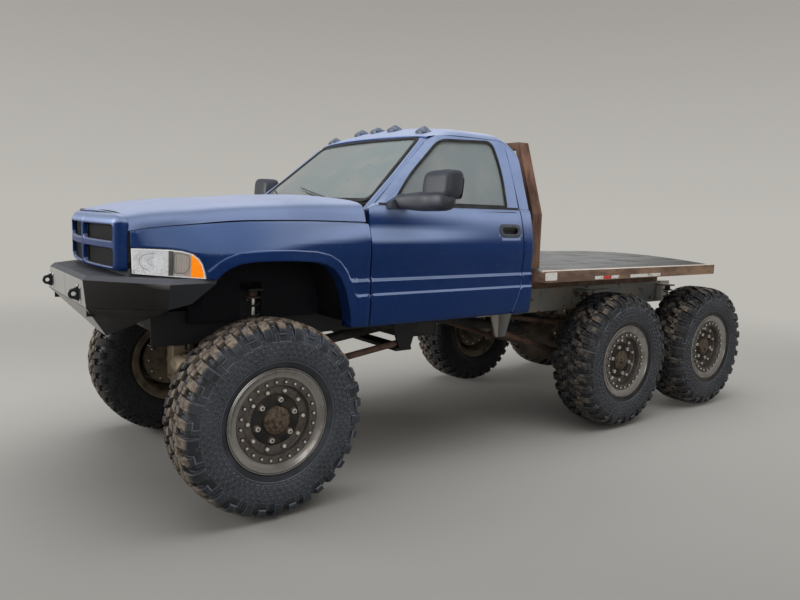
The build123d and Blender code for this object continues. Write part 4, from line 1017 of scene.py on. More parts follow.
def arch_offset(distance):
    """Line at a distance outside the wheel arch."""
    line = np.array(arch_line)
    way = np.gradient(line, axis=0)
    way /= np.linalg.norm(way, axis=1)[:, None]
    shifted = line + np.stack([way[:, 1], -way[:, 0]], axis=1) * distance
    count = 80
    steps = np.concatenate([[0], np.cumsum(np.linalg.norm(np.diff(shifted, axis=0), axis=1))])
    at = np.linspace(0, steps[-1], count)
    return list(zip(np.interp(at, steps, shifted[:, 0]), np.interp(at, steps, shifted[:, 1])))


lamp_rim = [(2.700, 1.372), (2.704, 1.511), (2.553, 1.512), (2.502, 1.507), (2.459, 1.494),
            (2.432, 1.470), (2.415, 1.438), (2.404, 1.398), (2.400, 1.362)]
fender_rim = [(1.383, 1.034), (1.383, 1.655), (1.387, 1.673)]
fender_rim += [(x, float(fender_top(x))) for x in np.linspace(1.42, 2.695, 36)]
fender_rim += [(2.703, 1.606), (2.704, 1.5155)]
fender_rim += [(2.553, 1.5165), (2.501, 1.5115), (2.456, 1.4985), (2.4275, 1.4725), (2.410, 1.440),
               (2.399, 1.399), (2.395, 1.361)]
fender_rim += arch_line

left_fender = Shape()
flare_gaps = (0.010, 0.022, 0.034, 0.044, 0.050, 0.054, 0.057, 0.060, 0.063, 0.067, 0.076)
flare_points = [point for gap in flare_gaps for point in arch_offset(gap)]
fender_rows = [z for z in crease_rows if z < waist_z] + [1.51, 1.53, 1.55, 1.57, 1.59, 1.61, 1.63, 1.65]
sheet_panel(left_fender, fender_rim, on_fender, 0.004, (), 0.026, fender_rows, extra=flare_points,
            clear=0.019)
flange = []
for x, z in arch_offset(0.0):
    edge_y = float(on_fender(x, z)[1])
    deep = 0.030 + 0.075 * float(soft_step(2.25 - x, 0.0, 0.7))
    flange.append([(x, edge_y - 0.001, z), (x, edge_y - deep, z - 0.002),
                   (x, edge_y - deep, z + 0.003), (x, edge_y - 0.001, z + 0.005)])
left_fender.grid(flange, 0, closed=True, capped=True)
gutter = []
for x in np.linspace(1.39, 2.70, 40):
    y, z = float(fender_edge(x)), float(fender_top(x))
    gutter.append([(x, y + 0.001, z - 0.002), (x, y - 0.045, z - 0.012), (x, y - 0.045, z - 0.018),
                   (x, y, z - 0.008)])
left_fender.grid(gutter, 1, closed=True, capped=True)
both_fenders = Shape().join(left_fender, left_fender.mirrored())
fender_panel = both_fenders.make("fender_panels", "chassis", "body_blue",
                                 [fender_paint_painted_shade, trim_paint])
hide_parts("fenders")

# ---------------------------------------------------------------- cab
# Cab body: roof and rear corners as one rounded pressing, back wall with its window, lower
# rear quarters, sills, floor, firewall, cowl and the posts the doors close against. The
# rubber seals of the windshield and back window are a piece of their own.
cab_rear = -0.097
roof_top = 2.3915
roof_crown = 0.107
screen_foot = 1.5237
rear_lean = 0.055
lean_from = 1.795


def roof_height(x, y):
    front = 0.584 * np.maximum(0, x - 0.45) ** 2
    back = 2.12 * np.maximum(0, 0.15 - x) ** 2
    return roof_top - roof_crown * y ** 2 - front - back


def screen_x(y, z):
    """Where the windshield's face stands."""
    return screen_foot - 1.234 * (z - 1.745) - 0.2045 * y ** 2


header_z = 2.274
corner_round = 0.055
ray_z = 1.90


def roof_ray(x, turn, shrink=0.0):
    """Half-width and height where a ray turned from upright meets the cab's outside."""
    sine, cosine = np.sin(turn), np.cos(turn)
    side = glass_y(ray_z) / (sine + glass_lean * cosine)
    drop = roof_top - roof_height(x, 0)
    a, h = roof_crown * sine ** 2 + 1e-9, roof_top - drop - ray_z
    top = (-cosine + np.sqrt(np.maximum(cosine ** 2 + 4 * a * h, 0))) / (2 * a)
    top = np.where(cosine > 0.05, top, 9.0)
    power = 22
    reach = (side ** -power + top ** -power) ** (-1 / power) - shrink
    return reach * sine, ray_z + reach * cosine


def turn_at(z, x=0.3):
    """Ray that meets the flank at a height."""
    turns = np.linspace(0.6, 1.75, 400)
    heights = roof_ray(x, turns)[1]
    return float(np.interp(-z, -heights, turns))


def thick(shape, rows, thickness, mark=0, inner_mark=None, heart=(0.5, 0, 1.2)):
    """Closed shell: the rows' surface and its copy moved inwards, to the side of its heart."""
    rows = np.asarray(rows, float)
    across = np.gradient(rows, axis=1)
    along = np.gradient(rows, axis=0)
    normal = np.cross(along, across)
    normal /= np.maximum(np.linalg.norm(normal, axis=2), 1e-9)[..., None]
    if np.sum(normal * (rows - np.array(heart, float))) < 0:
        normal = -normal
    inner = rows - normal * thickness
    count, wide = rows.shape[:2]
    start = len(shape.points)
    shape.grid(rows, mark)
    inner_mark = mark if inner_mark is None else inner_mark
    shape.grid(inner[:, ::-1], inner_mark)
    size = count * wide

    def out(i, j):
        return start + i * wide + j

    def back(i, j):
        return start + size + i * wide + wide - 1 - j

    border = [(0, j) for j in range(wide)] + [(i, wide - 1) for i in range(1, count)]
    border += [(count - 1, j) for j in range(wide - 2, -1, -1)]
    border += [(i, 0) for i in range(count - 2, 0, -1)]
    for first, second in zip(border, border[1:] + border[:1]):
        shape.faces.append([out(*first), back(*first), back(*second), out(*second)])
        shape.marks.append(mark)


def rear_drop(away):
    """How far the rear corner's rounding has pulled in at a distance from the back."""
    left = np.clip(corner_round - away, 0, corner_round)
    return corner_round - np.sqrt(corner_round ** 2 - left ** 2)


def leaned(x, y, z):
    """The place tipped forward with its height, most at the cab's back."""
    lean = rear_lean * max(0.0, z - lean_from) * (1 - float(soft_step(x, cab_rear, 0.4)))
    return x + lean, y, z


def roof_rows(turns, shares):
    rows = []
    for share in shares:
        row = []
        for turn in turns:
            x, y, z = 0.4, 0.87 * abs(sin(turn)), header_z
            for _ in range(5):
                front = screen_x(min(y, 0.80), header_z) + 0.004
                x = cab_rear + (front - cab_rear) * share
                y, z = (float(v) for v in roof_ray(x, abs(turn), float(rear_drop(x - cab_rear))))
            row.append(leaned(x, y if turn >= 0 else -y, z))
        rows.append(row)
    return rows


cab = Shape()
roof_turn = turn_at(2.292)
arc = np.linspace(0, 1, 30)
turns = np.concatenate([-roof_turn * arc[::-1], roof_turn * arc[1:]])
round_aways = [corner_round * (1 - cos(k * pi / 12)) for k in range(6)]
shares = [away / 0.99 for away in round_aways] + list(np.linspace(0.06, 0.90, 26))
shares += [0.93, 0.955, 0.975, 0.99, 1.0]
rows = roof_rows(turns, shares)
nose = [[(x + 0.004, y * 0.996, z - 0.010) for x, y, z in rows[-1]],
        [(x + 0.002, y * 0.994, z - 0.022) for x, y, z in rows[-1]]]
thick(cab, rows + nose, 0.030, 0, 1)

rear_door_x = curve([1.79, 1.80, 2.07, 2.20, 2.26, 2.294], [.034, .034, .049, .062, .078, .100])
low_turn = turn_at(1.797)
post_rows = []
for turn in np.linspace(roof_turn, low_turn, 26):
    row = []
    span = float(rear_door_x(float(roof_ray(0.02, turn)[1]))) - cab_rear
    for away in round_aways[:-1] + list(np.linspace(round_aways[-1], span, 8)):
        x = cab_rear + away
        y, z = (float(v) for v in roof_ray(x, turn, float(rear_drop(away))))
        row.append(leaned(x, y, z))
    post_rows.append(row)
half_cab = Shape()
thick(half_cab, post_rows, 0.045)


def quarter(x, z):
    away = np.asarray(x, float) - cab_rear
    return x, door_y(x, np.minimum(z, below_glass)) - rear_drop(away), z


quarter_rim = rounded_outline([(cab_rear + 0.0005, 1.030), (cab_rear + 0.0005, 1.798),
                               (0.033, 1.798), (0.031, 1.60), (0.030, 1.30), (0.059, 1.19),
                               (0.114, 1.030)],
                              [0.02, 0.002, 0.002, 0.2, 0.1, 0.08, 0.02])
round_columns = [cab_rear + corner_round * (1 - cos(k * pi / 14)) for k in range(1, 8)]
sheet_panel(half_cab, quarter_rim, quarter, 0.045, (), 0.03, crease_rows, round_columns)
half_cab.box((-0.05, 0.86, 1.03), (1.40, 0.884, 1.15), 0, 0.01)
half_cab.box((1.372, 0.84, 1.03), (1.43, 0.895, 1.76), 1, 0.006)
half_cab.tube([(1.385, 0.845, 1.72), (1.30, 0.835, 1.80), (1.10, 0.775, 1.965),
               (0.80, 0.690, 2.235)], 0.022, 10, 0)
for low_z in (1.165, 1.480):
    half_cab.box((1.345, 0.885, low_z), (1.40, 0.945, low_z + 0.03), 1, 0.004)
    half_cab.tube([(1.3635, 0.950, low_z - 0.035), (1.3635, 0.950, low_z + 0.065)], 0.009, 10, 1)
cab.join(half_cab, half_cab.mirrored())
cab.box((-0.06, -0.87, 1.125), (1.40, 0.87, 1.158), 1, 0.008)
cab.box((1.355, -0.86, 1.10), (1.385, 0.86, 1.76), 1, 0.006)

left_side = [tuple(map(float, roof_ray(cab_rear, turn, corner_round)))
             for turn in np.linspace(roof_turn, low_turn, 12)]
right_side = [(-y, z) for y, z in left_side[::-1]]
back_rim = right_side[1:] + [(y, z) for _, y, z in rows[0]][1:-1] + left_side[:-1]
low_side = [(0.842, 1.78), (0.905, 1.70), (0.915, 1.30), (0.905, 1.06), (0.885, 1.03)]
back_rim += low_side + [(-y, z) for y, z in low_side[::-1]]
back_window = rounded_outline([(-0.598, 1.847), (0.598, 1.847), (0.553, 2.203), (-0.553, 2.203)],
                              0.045)


def back_wall(y, z):
    return cab_rear + rear_lean * np.maximum(0, z - lean_from), y, z


sheet_panel(cab, back_rim, back_wall, 0.045, [back_window], 0.05, (1.60, 1.66, 1.70),
            away=(1, 0, 0), back_mark=1)
cowl_rim = rounded_outline([(1.30, -0.86), (1.545, -0.62), (1.60, 0.0), (1.545, 0.62),
                            (1.30, 0.86)], 0.05)
sheet_panel(cab, cowl_rim, lambda x, y: (x, y, 1.792 - 0.05 * (x - 1.45) + 0 * y), 0.03, (), 0.06,
            away=(0, 0, -1), mark=1)
cab_body = cab.make("cab_body", "chassis", "body_blue", painted)
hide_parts("cab_shell")

glass_trim = Shape()
screen_rim = rounded_outline([(-0.795, 1.824), (0.795, 1.824), (0.645, 2.262), (-0.645, 2.262)],
                             [0.05, 0.05, 0.04, 0.04])
seal(glass_trim, shrunk(screen_rim, -0.004), lambda y, z: (screen_x(y, z), y, z), 0.022, 0.002,
     (0.63, 0, 0.78), 0.02, 0.6, 0.008)
seal(glass_trim, back_window, back_wall, 0.026, 0.006, (-1, 0, 0), 0.02, 0.6, 0.008)
glass_trim.make("glass_seals", "chassis", "plastic_grey", [trim_paint])

# ---------------------------------------------------------------- hood
# Crowned top, soft shoulders, a side wall down to the fender gap and a nose that rolls over
# above the grille. It hinges at the cowl.
hood_x = [1.3375, 1.7055, 2.1245, 2.4835, 2.7085, 2.8335]
hood_half = curve([1.38, 1.7135, 2.1235, 2.3435, 2.4155, 2.5135, 2.6135, 2.7035, 2.77, 2.8185],
                  [.930, .901, .853, .798, .775, .731, .661, .600, .573, .560])
hood_gap = curve(fender_x, [1.684, 1.687, 1.680, 1.663, 1.655, 1.645, 1.631, 1.617, 1.606])
hood_crown = curve([1.3375, 1.711, 2.099, 2.421, 2.600, 2.700, 2.750, 2.800],
                   [1.851, 1.837, 1.810, 1.784, 1.757, 1.734, 1.719, 1.698])
hood_shoulder = curve(hood_x, [1.803, 1.793, 1.768, 1.732, 1.704, 1.680])
nose_tip = 2.776
hood_lean = 0.26
nose_bow = 0.15
hinge_bow = 0.125


def hood_rows():
    turns = np.linspace(-pi / 2, pi / 2, 97)
    turns = turns + 0.16 * np.sin(2 * turns)
    rows = []
    stations = np.concatenate([np.linspace(1.393, 2.70, 42), [2.725, 2.752, nose_tip]])
    for station in stations:
        half, low = float(hood_half(station)), float(hood_gap(station))
        crown, shoulder = float(hood_crown(station)), float(hood_shoulder(station))
        row = []
        for turn in turns:
            sine, cosine = abs(sin(turn)), max(cos(turn), 1e-6)
            side = half / (sine + hood_lean * cosine)
            bow = (crown - shoulder) / half ** 2
            a, h = bow * sine ** 2 + 1e-9, crown - low
            top = (-cosine + sqrt(cosine ** 2 + 4 * a * h)) / (2 * a)
            power = 16 - 6 * float(soft_step(station, 2.1, nose_tip))
            reach = (side ** -power + top ** -power) ** (-1 / power)
            y, z = reach * sin(turn), low + reach * cosine
            ahead = -nose_bow * y ** 2 * float(soft_step(station, 2.2, nose_tip))
            behind = hinge_bow * (1 - (y / 0.96) ** 2) * (1 - float(soft_step(station, 1.39, 2.0)))
            row.append((station + ahead + behind, y, z))
        rows.append(row)
    lip = np.array(rows[-1])
    way = lip - (0, 0, 1.60)
    way[:, 0] = 0
    way /= np.linalg.norm(way, axis=1)[:, None]
    for forward, inward in ((0.003, 0.003), (0.003, 0.009), (-0.002, 0.016)):
        rows.append(lip - way * inward + (forward, 0, 0))
    return rows


hood = Shape()
thick(hood, hood_rows(), 0.014, 0, 1, (2.1, 0, 1.2))
for side in (1, -1):
    hood.box((1.395, side * 0.866 - 0.007, 1.765), (1.455, side * 0.866 + 0.007, 1.79), 1, 0.002)
hood_panel = hood.make("hood_skin", "hood_panel", "body_blue", painted, 40)
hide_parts("hood")

# ---------------------------------------------------------------- grille
# Painted surround with a cross of two bars and four rounded openings, over a dark sheet of
# expanded diamond mesh.
grille_low = 1.384
grille_nose = 2.820
top_roll, side_roll = 0.0715, 0.060


def grille_face(y, z):
    over = np.clip(z - 1.632, 0, 0.070)
    under = np.clip(grille_low + 0.020 - z, 0, 0.020)
    beside = np.clip(np.abs(y) - 0.520, 0, 0.057)
    roll = top_roll - np.sqrt(top_roll ** 2 - over ** 2) + 0.6 * under
    roll = roll + side_roll - np.sqrt(side_roll ** 2 - beside ** 2)
    rib = 0.005 * (1 - soft_step(np.abs(y), 0.006, 0.022))
    return grille_nose - nose_bow * y ** 2 - roll + rib, y, z


surround = Shape()
upper_side = [(0.575, 1.500), (0.577, 1.640), (0.572, 1.662), (0.560, 1.678), (0.530, 1.691),
              (0.480, 1.697), (0.350, 1.701), (0.150, 1.7025)]
surround_rim = [(-0.560, grille_low), (0.560, grille_low), (0.573, grille_low + 0.012)] + upper_side
surround_rim += [(-y, z) for y, z in upper_side[::-1]] + [(-0.573, grille_low + 0.012)]
openings = []
for low, high in ((1.543, 1.634), (1.402, 1.504)):
    for side in (1, -1):
        openings.append(rounded_outline([(side * 0.018, low), (side * 0.524, low),
                                         (side * 0.528, high), (side * 0.018, high)], 0.024))
sheet_panel(surround, surround_rim, grille_face, 0.024, openings, 0.022,
            (1.640, 1.648, 1.656, 1.664, 1.672, 1.680, 1.687, 1.694),
            (-0.57, -0.56, -0.55, -0.54, -0.53, -0.02, -0.01, 0, 0.01, 0.02, 0.53, 0.54, 0.55, 0.56,
             0.57), edge=0.005, drop=0.004, away=(-1, 0, 0))
for side in (1, -1):
    surround.box((2.600, side * 0.564 - 0.006, grille_low + 0.004),
                 (2.692, side * 0.564 + 0.006, 1.652), 0, 0.003)
surround.box((2.560, -0.600, 1.300), (2.715, 0.600, 1.3995), 1, 0.006)
grille_body = surround.make("grille_surround", "chassis", "body_blue", painted)
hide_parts("grille")

mesh_black = two_tone("mesh_black", (60, 5), (0.45, 0.68), (0.014, 0.0145, 0.017),
                      (0.032, 0.032, 0.034), (0.55, 0.2), (400, 2, 0.0002, 0.3))
screen = Shape()
mesh_in, mesh_out = 0.012, 0.538
for side in (1, -1):
    for low, high in ((1.534, 1.641), (1.395, 1.520)):
        tall = high - low
        for start in np.arange(mesh_in - tall, mesh_out, 0.0125):
            for lean in (1, -1):
                first, last = start, start + tall
                bottom, top = (low, high) if lean > 0 else (high, low)
                if first < mesh_in:
                    bottom += (top - bottom) * (mesh_in - first) / tall
                    first = mesh_in
                if last > mesh_out:
                    top -= (top - bottom) * (last - mesh_out) / (last - first)
                    last = mesh_out
                ends = []
                for y, z in ((first, bottom), (last, top)):
                    x = grille_nose - 0.034 - nose_bow * y ** 2 + 0.001 * lean
                    ends.append([(x + out * 0.0015, side * y, z + up * 0.0016)
                                 for out, up in ((-1, -1), (1, -1), (1, 1), (-1, 1))])
                screen.grid(ends, 0, closed=True)
# A black plate behind the mesh fills the openings: painted shade for the dark inside.
screen.box((2.60, -0.55, 1.395), (2.606, 0.55, 1.640), 0, 0.001)
mesh_piece = screen.make("diamond_mesh", "chassis", "dark_mesh", [mesh_black], 30)
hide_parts("grille_mesh")

# ---------------------------------------------------------------- headlamps
# Each lamp is a dark housing with a bright bowl, a fluted grey corner lamp and an amber end,
# behind one clear moulded lens that follows the fender's corner.
chrome = two_tone("lamp_reflector", (20, 4), (0.45, 0.7), (0.93, 0.94, 0.96), (0.88, 0.88, 0.89),
                  (0.24, 0.12), (60, 2, 0.0003, 0.10), Metallic=0.25,
                  Emission_Color=(0.95, 0.95, 0.97, 1.0), Emission_Strength=0.13)
smoky = Finish("corner_reflector")
flutes = smoky.noise(25, 4)
smoky.set(Base_Color=smoky.mix(flutes, (0.50, 0.465, 0.42), (0.68, 0.645, 0.60)), Metallic=0.4,
          Roughness=0.26 + flutes * 0.1, Emission_Color=(0.55, 0.50, 0.45, 1.0),
          Emission_Strength=0.12,
          Normal=smoky.bump(smoky.noise(90, 2), 0.0004, 0.15))
divider_grey = Finish("lamp_divider")
divider_tone = divider_grey.noise(50, 3)
divider_grey.set(Base_Color=divider_grey.mix(divider_tone, (0.10, 0.10, 0.105),
                                             (0.16, 0.16, 0.165)),
                 Roughness=0.4 + divider_tone * 0.1,
                 Normal=divider_grey.bump(divider_grey.noise(400, 2), 0.0003, 0.3))
amber = Finish("amber_lens")
cloud = amber.between(amber.noise(40, 4), 0.4, 0.7)
amber.set(Base_Color=amber.mix(cloud, (0.95, 0.25, 0.0), (0.95, 0.32, 0.0)),
          Roughness=0.30 + cloud * 0.1,
          Emission_Color=amber.mix(cloud, (0.88, 0.24, 0.0), (0.92, 0.30, 0.0)),
          Emission_Strength=0.62, Specular_IOR_Level=0.2,
          Normal=amber.bump(amber.noise(160, 2), 0.0005, 0.3))
lens = two_tone("clear_lens", (120, 5), (0.52, 0.72), (0.98, 0.985, 0.99), (0.90, 0.91, 0.91),
                (0.02, 0.05), (8, 2, 0.0006, 0.10), share=0.2, Transmission_Weight=1.0, IOR=1.25)
lamp = Shape()
ring = shrunk(lamp_rim, 0.002)


def lamp_skin(x, z, inward=0.0):
    """Place on the lamp's face, moved inwards square to the corner."""
    return (np.asarray(x, float) - inward * 0.7, fender_y(x, z) - inward * 0.7, z)


into_lamp = (-0.7, -0.7, 0)
bowl_x, bowl_z = 2.628, 1.441


def lamp_back(x, z):
    far_out = np.sqrt(((x - bowl_x) / 0.070) ** 2 + ((z - bowl_z) / 0.064) ** 2)
    bowl = 0.052 - 0.042 * np.clip(far_out, 0, 1) ** 2
    bowl = bowl + 0.0016 * np.sin(x * 2 * pi / 0.009) * soft_step(x, 2.640, 2.650)
    corner = 0.024 + 0.0012 * np.sin((x - 2.47) * 2 * pi / 0.010)
    depth = np.where(x > 2.556, bowl, corner)
    wall_gap = np.minimum(np.abs(x - 2.551), 0.03) / 0.006
    depth = depth * np.clip(wall_gap, 0.12, 1)
    return lamp_skin(x, z, depth)


bright_rim = [(2.698, 1.374), (2.701, 1.509), (2.5575, 1.510), (2.5575, 1.369)]
bright_columns = np.concatenate([np.arange(2.56, 2.64, 0.006), np.arange(2.64, 2.70, 0.0022)])
sheet_panel(lamp, bright_rim, lamp_back, 0.004, (), 0.012, (), bright_columns,
            drop=0.0, away=into_lamp, mark=1)
corner_rim = [(2.544, 1.369), (2.544, 1.509), (2.502, 1.505), (2.466, 1.495), (2.466, 1.365)]
sheet_panel(lamp, corner_rim, lamp_back, 0.004, (), 0.012, (), np.arange(2.468, 2.544, 0.0025),
            drop=0.0, away=into_lamp, mark=4)
divider = [(2.5575, 1.369), (2.5575, 1.510), (2.544, 1.509), (2.544, 1.369)]
sheet_panel(lamp, divider, lambda x, z: lamp_skin(x, z, 0.006), 0.030, (), 0.02,
            away=into_lamp, mark=5)
amber_rim = [(2.465, 1.366), (2.465, 1.494), (2.458, 1.492), (2.433, 1.469), (2.417, 1.438),
             (2.406, 1.398), (2.402, 1.364)]
sheet_panel(lamp, amber_rim, lambda x, z: lamp_skin(x, z, 0.004), 0.020, (), 0.012,
            away=into_lamp, mark=2)
sheet_panel(lamp, ring, lambda x, z: lamp_skin(x, z, 0.0), 0.0025, (), 0.018,
            away=into_lamp, mark=3)
case = shrunk(lamp_rim, 0.006)
sheet_panel(lamp, case, lambda x, z: lamp_skin(x, z, 0.062), 0.012, (), 0.03, away=into_lamp)
bulb = Shape()
bulb_x, bulb_y, _ = lamp_skin(bowl_x, bowl_z, 0.030)
bulb.tube([(bulb_x + out, bulb_y + out, bowl_z) for out in (-0.02, 0.004, 0.008)],
          [0.015, 0.015, 0.009], 16, 1)
for radius, size in ((0.021, 0.0008), (0.046, 0.0013)):
    loop = []
    for k in range(-5, 8):
        x, z = bowl_x + radius * cos(k * pi / 12), bowl_z + radius * sin(k * pi / 12)
        loop.append(lamp_skin(x, z, 0.010 if radius > 0.03 else 0.034))
    bulb.tube(loop, size, 6, 5)
corner_ring = rounded_outline([(2.538, 1.385), (2.538, 1.496), (2.476, 1.488), (2.472, 1.420),
                               (2.492, 1.385)], 0.02)
bulb.tube([lamp_skin(x, z, 0.014) for x, z in corner_ring + corner_ring[:1]], 0.0014, 6, 5)
lamp.join(bulb)
rim_line = filled_in([tuple(p) for p in shrunk(lamp_rim, 0.001)], 0.012)
edge_rows = []
for (x, z), (inner_x, inner_z) in zip(rim_line, shrunk(rim_line, 0.004)):
    edge_rows.append([lamp_skin(x, z, 0.001), lamp_skin(inner_x, inner_z, 0.001),
                      lamp_skin(inner_x, inner_z, 0.060), lamp_skin(x, z, 0.060)])
lamp.grid(edge_rows, 1, closed=True, looped=True)
lamps = Shape().join(lamp, lamp.mirrored())
lamp_piece = lamps.make("corner_lamps", "chassis", "lamp_clear",
                        [mesh_black, chrome, amber, lens, smoky, divider_grey], 25, False)
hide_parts("headlamps")

# ---------------------------------------------------------------- bumper
# Folded steel plate under a rough black powder coating: an upright band that folds back at the
# wings to a point, plates below that slope down to a keel, a top plate and two tow tabs. Faces
# that point forward, up or to the left are lighter as painted light.
powder = Finish("powder_coat")
chalky = powder.between(powder.noise(5, 6), 0.40, 0.72)
chip = powder.worn_edge(0.004) * powder.between(powder.noise(26, 5), 0.42, 0.62)
# Painted light: faces that point forward, up or to the left are lighter.
painted_front_light = powder.between(powder.facing("X"), 0.742, 0.762)
powder_tone_and_painted_light = powder.mix(chalky, (0.0055, 0.0042, 0.0036), (0.0125, 0.0100, 0.0090))
powder_tone_and_painted_light = powder.mix(powder.between(powder.facing("Z"), 0.35, 0.75) * 0.8, powder_tone_and_painted_light, (0.085, 0.090, 0.105))
powder_tone_and_painted_light = powder.mix(powder.between(powder.facing("Y"), 0.88, 0.95), powder_tone_and_painted_light, (0.0175, 0.0205, 0.0240))
powder_tone_and_painted_light = powder.mix(painted_front_light * 0.95, powder_tone_and_painted_light, (0.34, 0.335, 0.320))
powder.set(Base_Color=powder.mix(chip * 0.7, powder_tone_and_painted_light, (0.115, 0.085, 0.068)),
           Roughness=0.50 + chalky * 0.16, Specular_IOR_Level=0.16,
           Normal=powder.bump(powder.noise(700, 2) + powder.noise(12, 3) * 0.6, 0.0005, 0.5,
                              powder.rounded(0.004)))
bumper = Shape()


def plate(shape, corners, thickness):
    """Plate over three or four corners, thickened away from its outer face."""
    corners = [np.array(corner, float) for corner in corners]
    if len(corners) == 4:
        steps = np.linspace(0.003, 0.997, 7)[:, None]
        rows = [(1 - s) * (corners[0] * (1 - steps) + corners[1] * steps)
                + s * (corners[3] * (1 - steps) + corners[2] * steps) for s in steps]
        thick(shape, rows, thickness, heart=(2.2, 0, 1.2))
        return
    normal = np.cross(corners[1] - corners[0], corners[2] - corners[0])
    normal /= np.linalg.norm(normal)
    outward = np.array((1.0, 0.25 * np.sign(corners[0][1] + 0.01), 0.0))
    if normal.dot(outward) < 0:
        normal = -normal
    middle = sum(corners) / len(corners)
    edge_in = [corner + (middle - corner) * 0.012 for corner in corners]
    rings = [edge_in, [corner - normal * 0.0025 for corner in corners],
             [corner - normal * thickness for corner in corners]]
    shape.grid(rings, closed=True, capped=True)


half = Shape()
top_z, fold_z, keel_z = 1.333, 1.191, 0.950
face_x = 2.9235
tip = (2.345, 0.928, 1.342)
band_low, band_high = (face_x, 0.556, fold_z), (face_x, 0.482, top_z)
wing_low, wing_high = (2.590, 0.880, 1.203), (2.580, 0.880, top_z + 0.002)
under_band, keel = (face_x, 0.556, fold_z - 0.002), (2.722, 0.105, keel_z)
for corners in ([(face_x, 0.0, fold_z), band_low, band_high, (face_x, 0.0, top_z)],
                [band_low, wing_low, wing_high, band_high],
                [wing_low, (2.475, 0.902, 1.232), tip, wing_high],
                [(face_x, 0.0, fold_z - 0.002), (2.722, 0.0, keel_z), keel, under_band],
                [under_band, keel, (2.588, 0.880, 1.200)]):
    plate(half, corners, 0.010)
brow = [(face_x - 0.002, 0.0), (face_x - 0.002, 0.480), (2.581, 0.877), (2.350, 0.922),
        (2.350, 0.905), (2.56, 0.845), (2.74, 0.62), (2.74, 0.0)]
heights = [1.3335, 1.3335, 1.3345, 1.343, 1.350, 1.352, 1.360, 1.360]
top_points = [(x, y, z) for (x, y), z in zip(brow, heights)]
mid = [(x - 0.022, y * (0.975 if y > 0.3 else 1), z + 0.022) for x, y, z in top_points[:4]]
strip = [[(a, b, c), (x, y, z), (x - 0.004, y, z - 0.010), (a - 0.006, b, c - 0.006)]
         for (a, b, c), (x, y, z) in zip(top_points, mid)]
half.grid(strip, 0, closed=True, capped=True)
shelf_x = (0.17, 0.17, 0.08, 0.03)
shelf_y = (0, 0, 0.10, 0.02)
shelf = [[(x, y, z), (x - deep, y - inward, z + 0.002), (x - deep, y - inward, z - 0.006),
          (x, y, z - 0.008)] for (x, y, z), deep, inward in zip(mid, shelf_x, shelf_y)]
half.grid(shelf, 0, closed=True, capped=True)
half.box((2.56, 0.455, 1.13), (2.905, 0.467, 1.24), 0, 0.003)
tab_y = 0.4
for y in (tab_y - 0.016, tab_y + 0.016):
    half.box((face_x - 0.001, y - 0.004, 1.205), (face_x + 0.004, y + 0.004, 1.300), 0, 0.001)
bumper.join(half, half.mirrored())
for side in (1, -1):
    for z in (1.214, 1.290):
        for shift in (-0.030, 0.030):
            flat = [(side * tab_y + shift + 0.009 * sin(k * pi / 3), z + 0.009 * cos(k * pi / 3))
                    for k in range(6)]
            bumper.slab(flat, face_x - 0.002, face_x + 0.008, lambda y, z, x: (x, y, z), 1, 0.0015)
for side in (1, -1):
    eye = (2.955, 1.2525)
    flat = [(face_x - 0.002, 1.213), (face_x + 0.010, 1.212)]
    flat += [(eye[0] + 0.029 * sin(k * pi / 10), eye[1] - 0.029 * cos(k * pi / 10))
             for k in range(0, 11)]
    flat += [(face_x + 0.010, 1.293), (face_x - 0.002, 1.292)]
    hole = [(eye[0] + 0.0125 * cos(k * pi / 9), eye[1] + 0.0125 * sin(k * pi / 9))
            for k in range(18)]
    sheet_panel(bumper, flat, lambda x, z, s=side: (x, s * tab_y + 0.010 + 0 * x, z), 0.020, [hole],
                0.02, edge=0.002, drop=0.0015)
bumper_piece = bumper.make("plate_bumper", "chassis", "bumper_black", [powder, bolt_steel], 20)
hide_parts("front_bumper")
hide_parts("tow_tabs")

# ---------------------------------------------------------------- deck sheet
# One crowned steel sheet, worn bright by loads slid along it: long streaks, a few rust stains
# and a pale band along each side edge that is a painted highlight. Its CAD sheet is kept and
# only finished.
deck_steel = Finish("deck_steel")
streak = deck_steel.between(deck_steel.noise(10, 6, 0.6, (0.12, 1.6, 1)), 0.38, 0.66)
stain = deck_steel.between(deck_steel.noise(3.5, 6), 0.50, 0.74)
spot_rust = deck_steel.between(deck_steel.noise(22, 6), 0.60, 0.70)
edge_y = deck_steel.part_of("Y")
# Painted highlight: the sheet turns pale along both side edges.
edge = deck_steel.between(edge_y * edge_y, 0.90, 1.06)
steel = deck_steel.mix(streak, (0.040, 0.044, 0.046), (0.095, 0.100, 0.100))
steel = deck_steel.mix(stain * 0.55, steel, (0.026, 0.027, 0.027))
steel = deck_steel.mix(edge * 0.9, steel, (0.80, 0.72, 0.65))
deck_steel.set(Base_Color=deck_steel.mix(spot_rust * 0.6, steel, (0.16, 0.085, 0.05)), Metallic=0.1,
               Roughness=0.52 + stain * 0.2,
               Normal=deck_steel.bump(deck_steel.noise(14, 5, 0.6, (0.15, 1, 1)), 0.0022, 0.5))
dress("deck_floor", deck_steel)

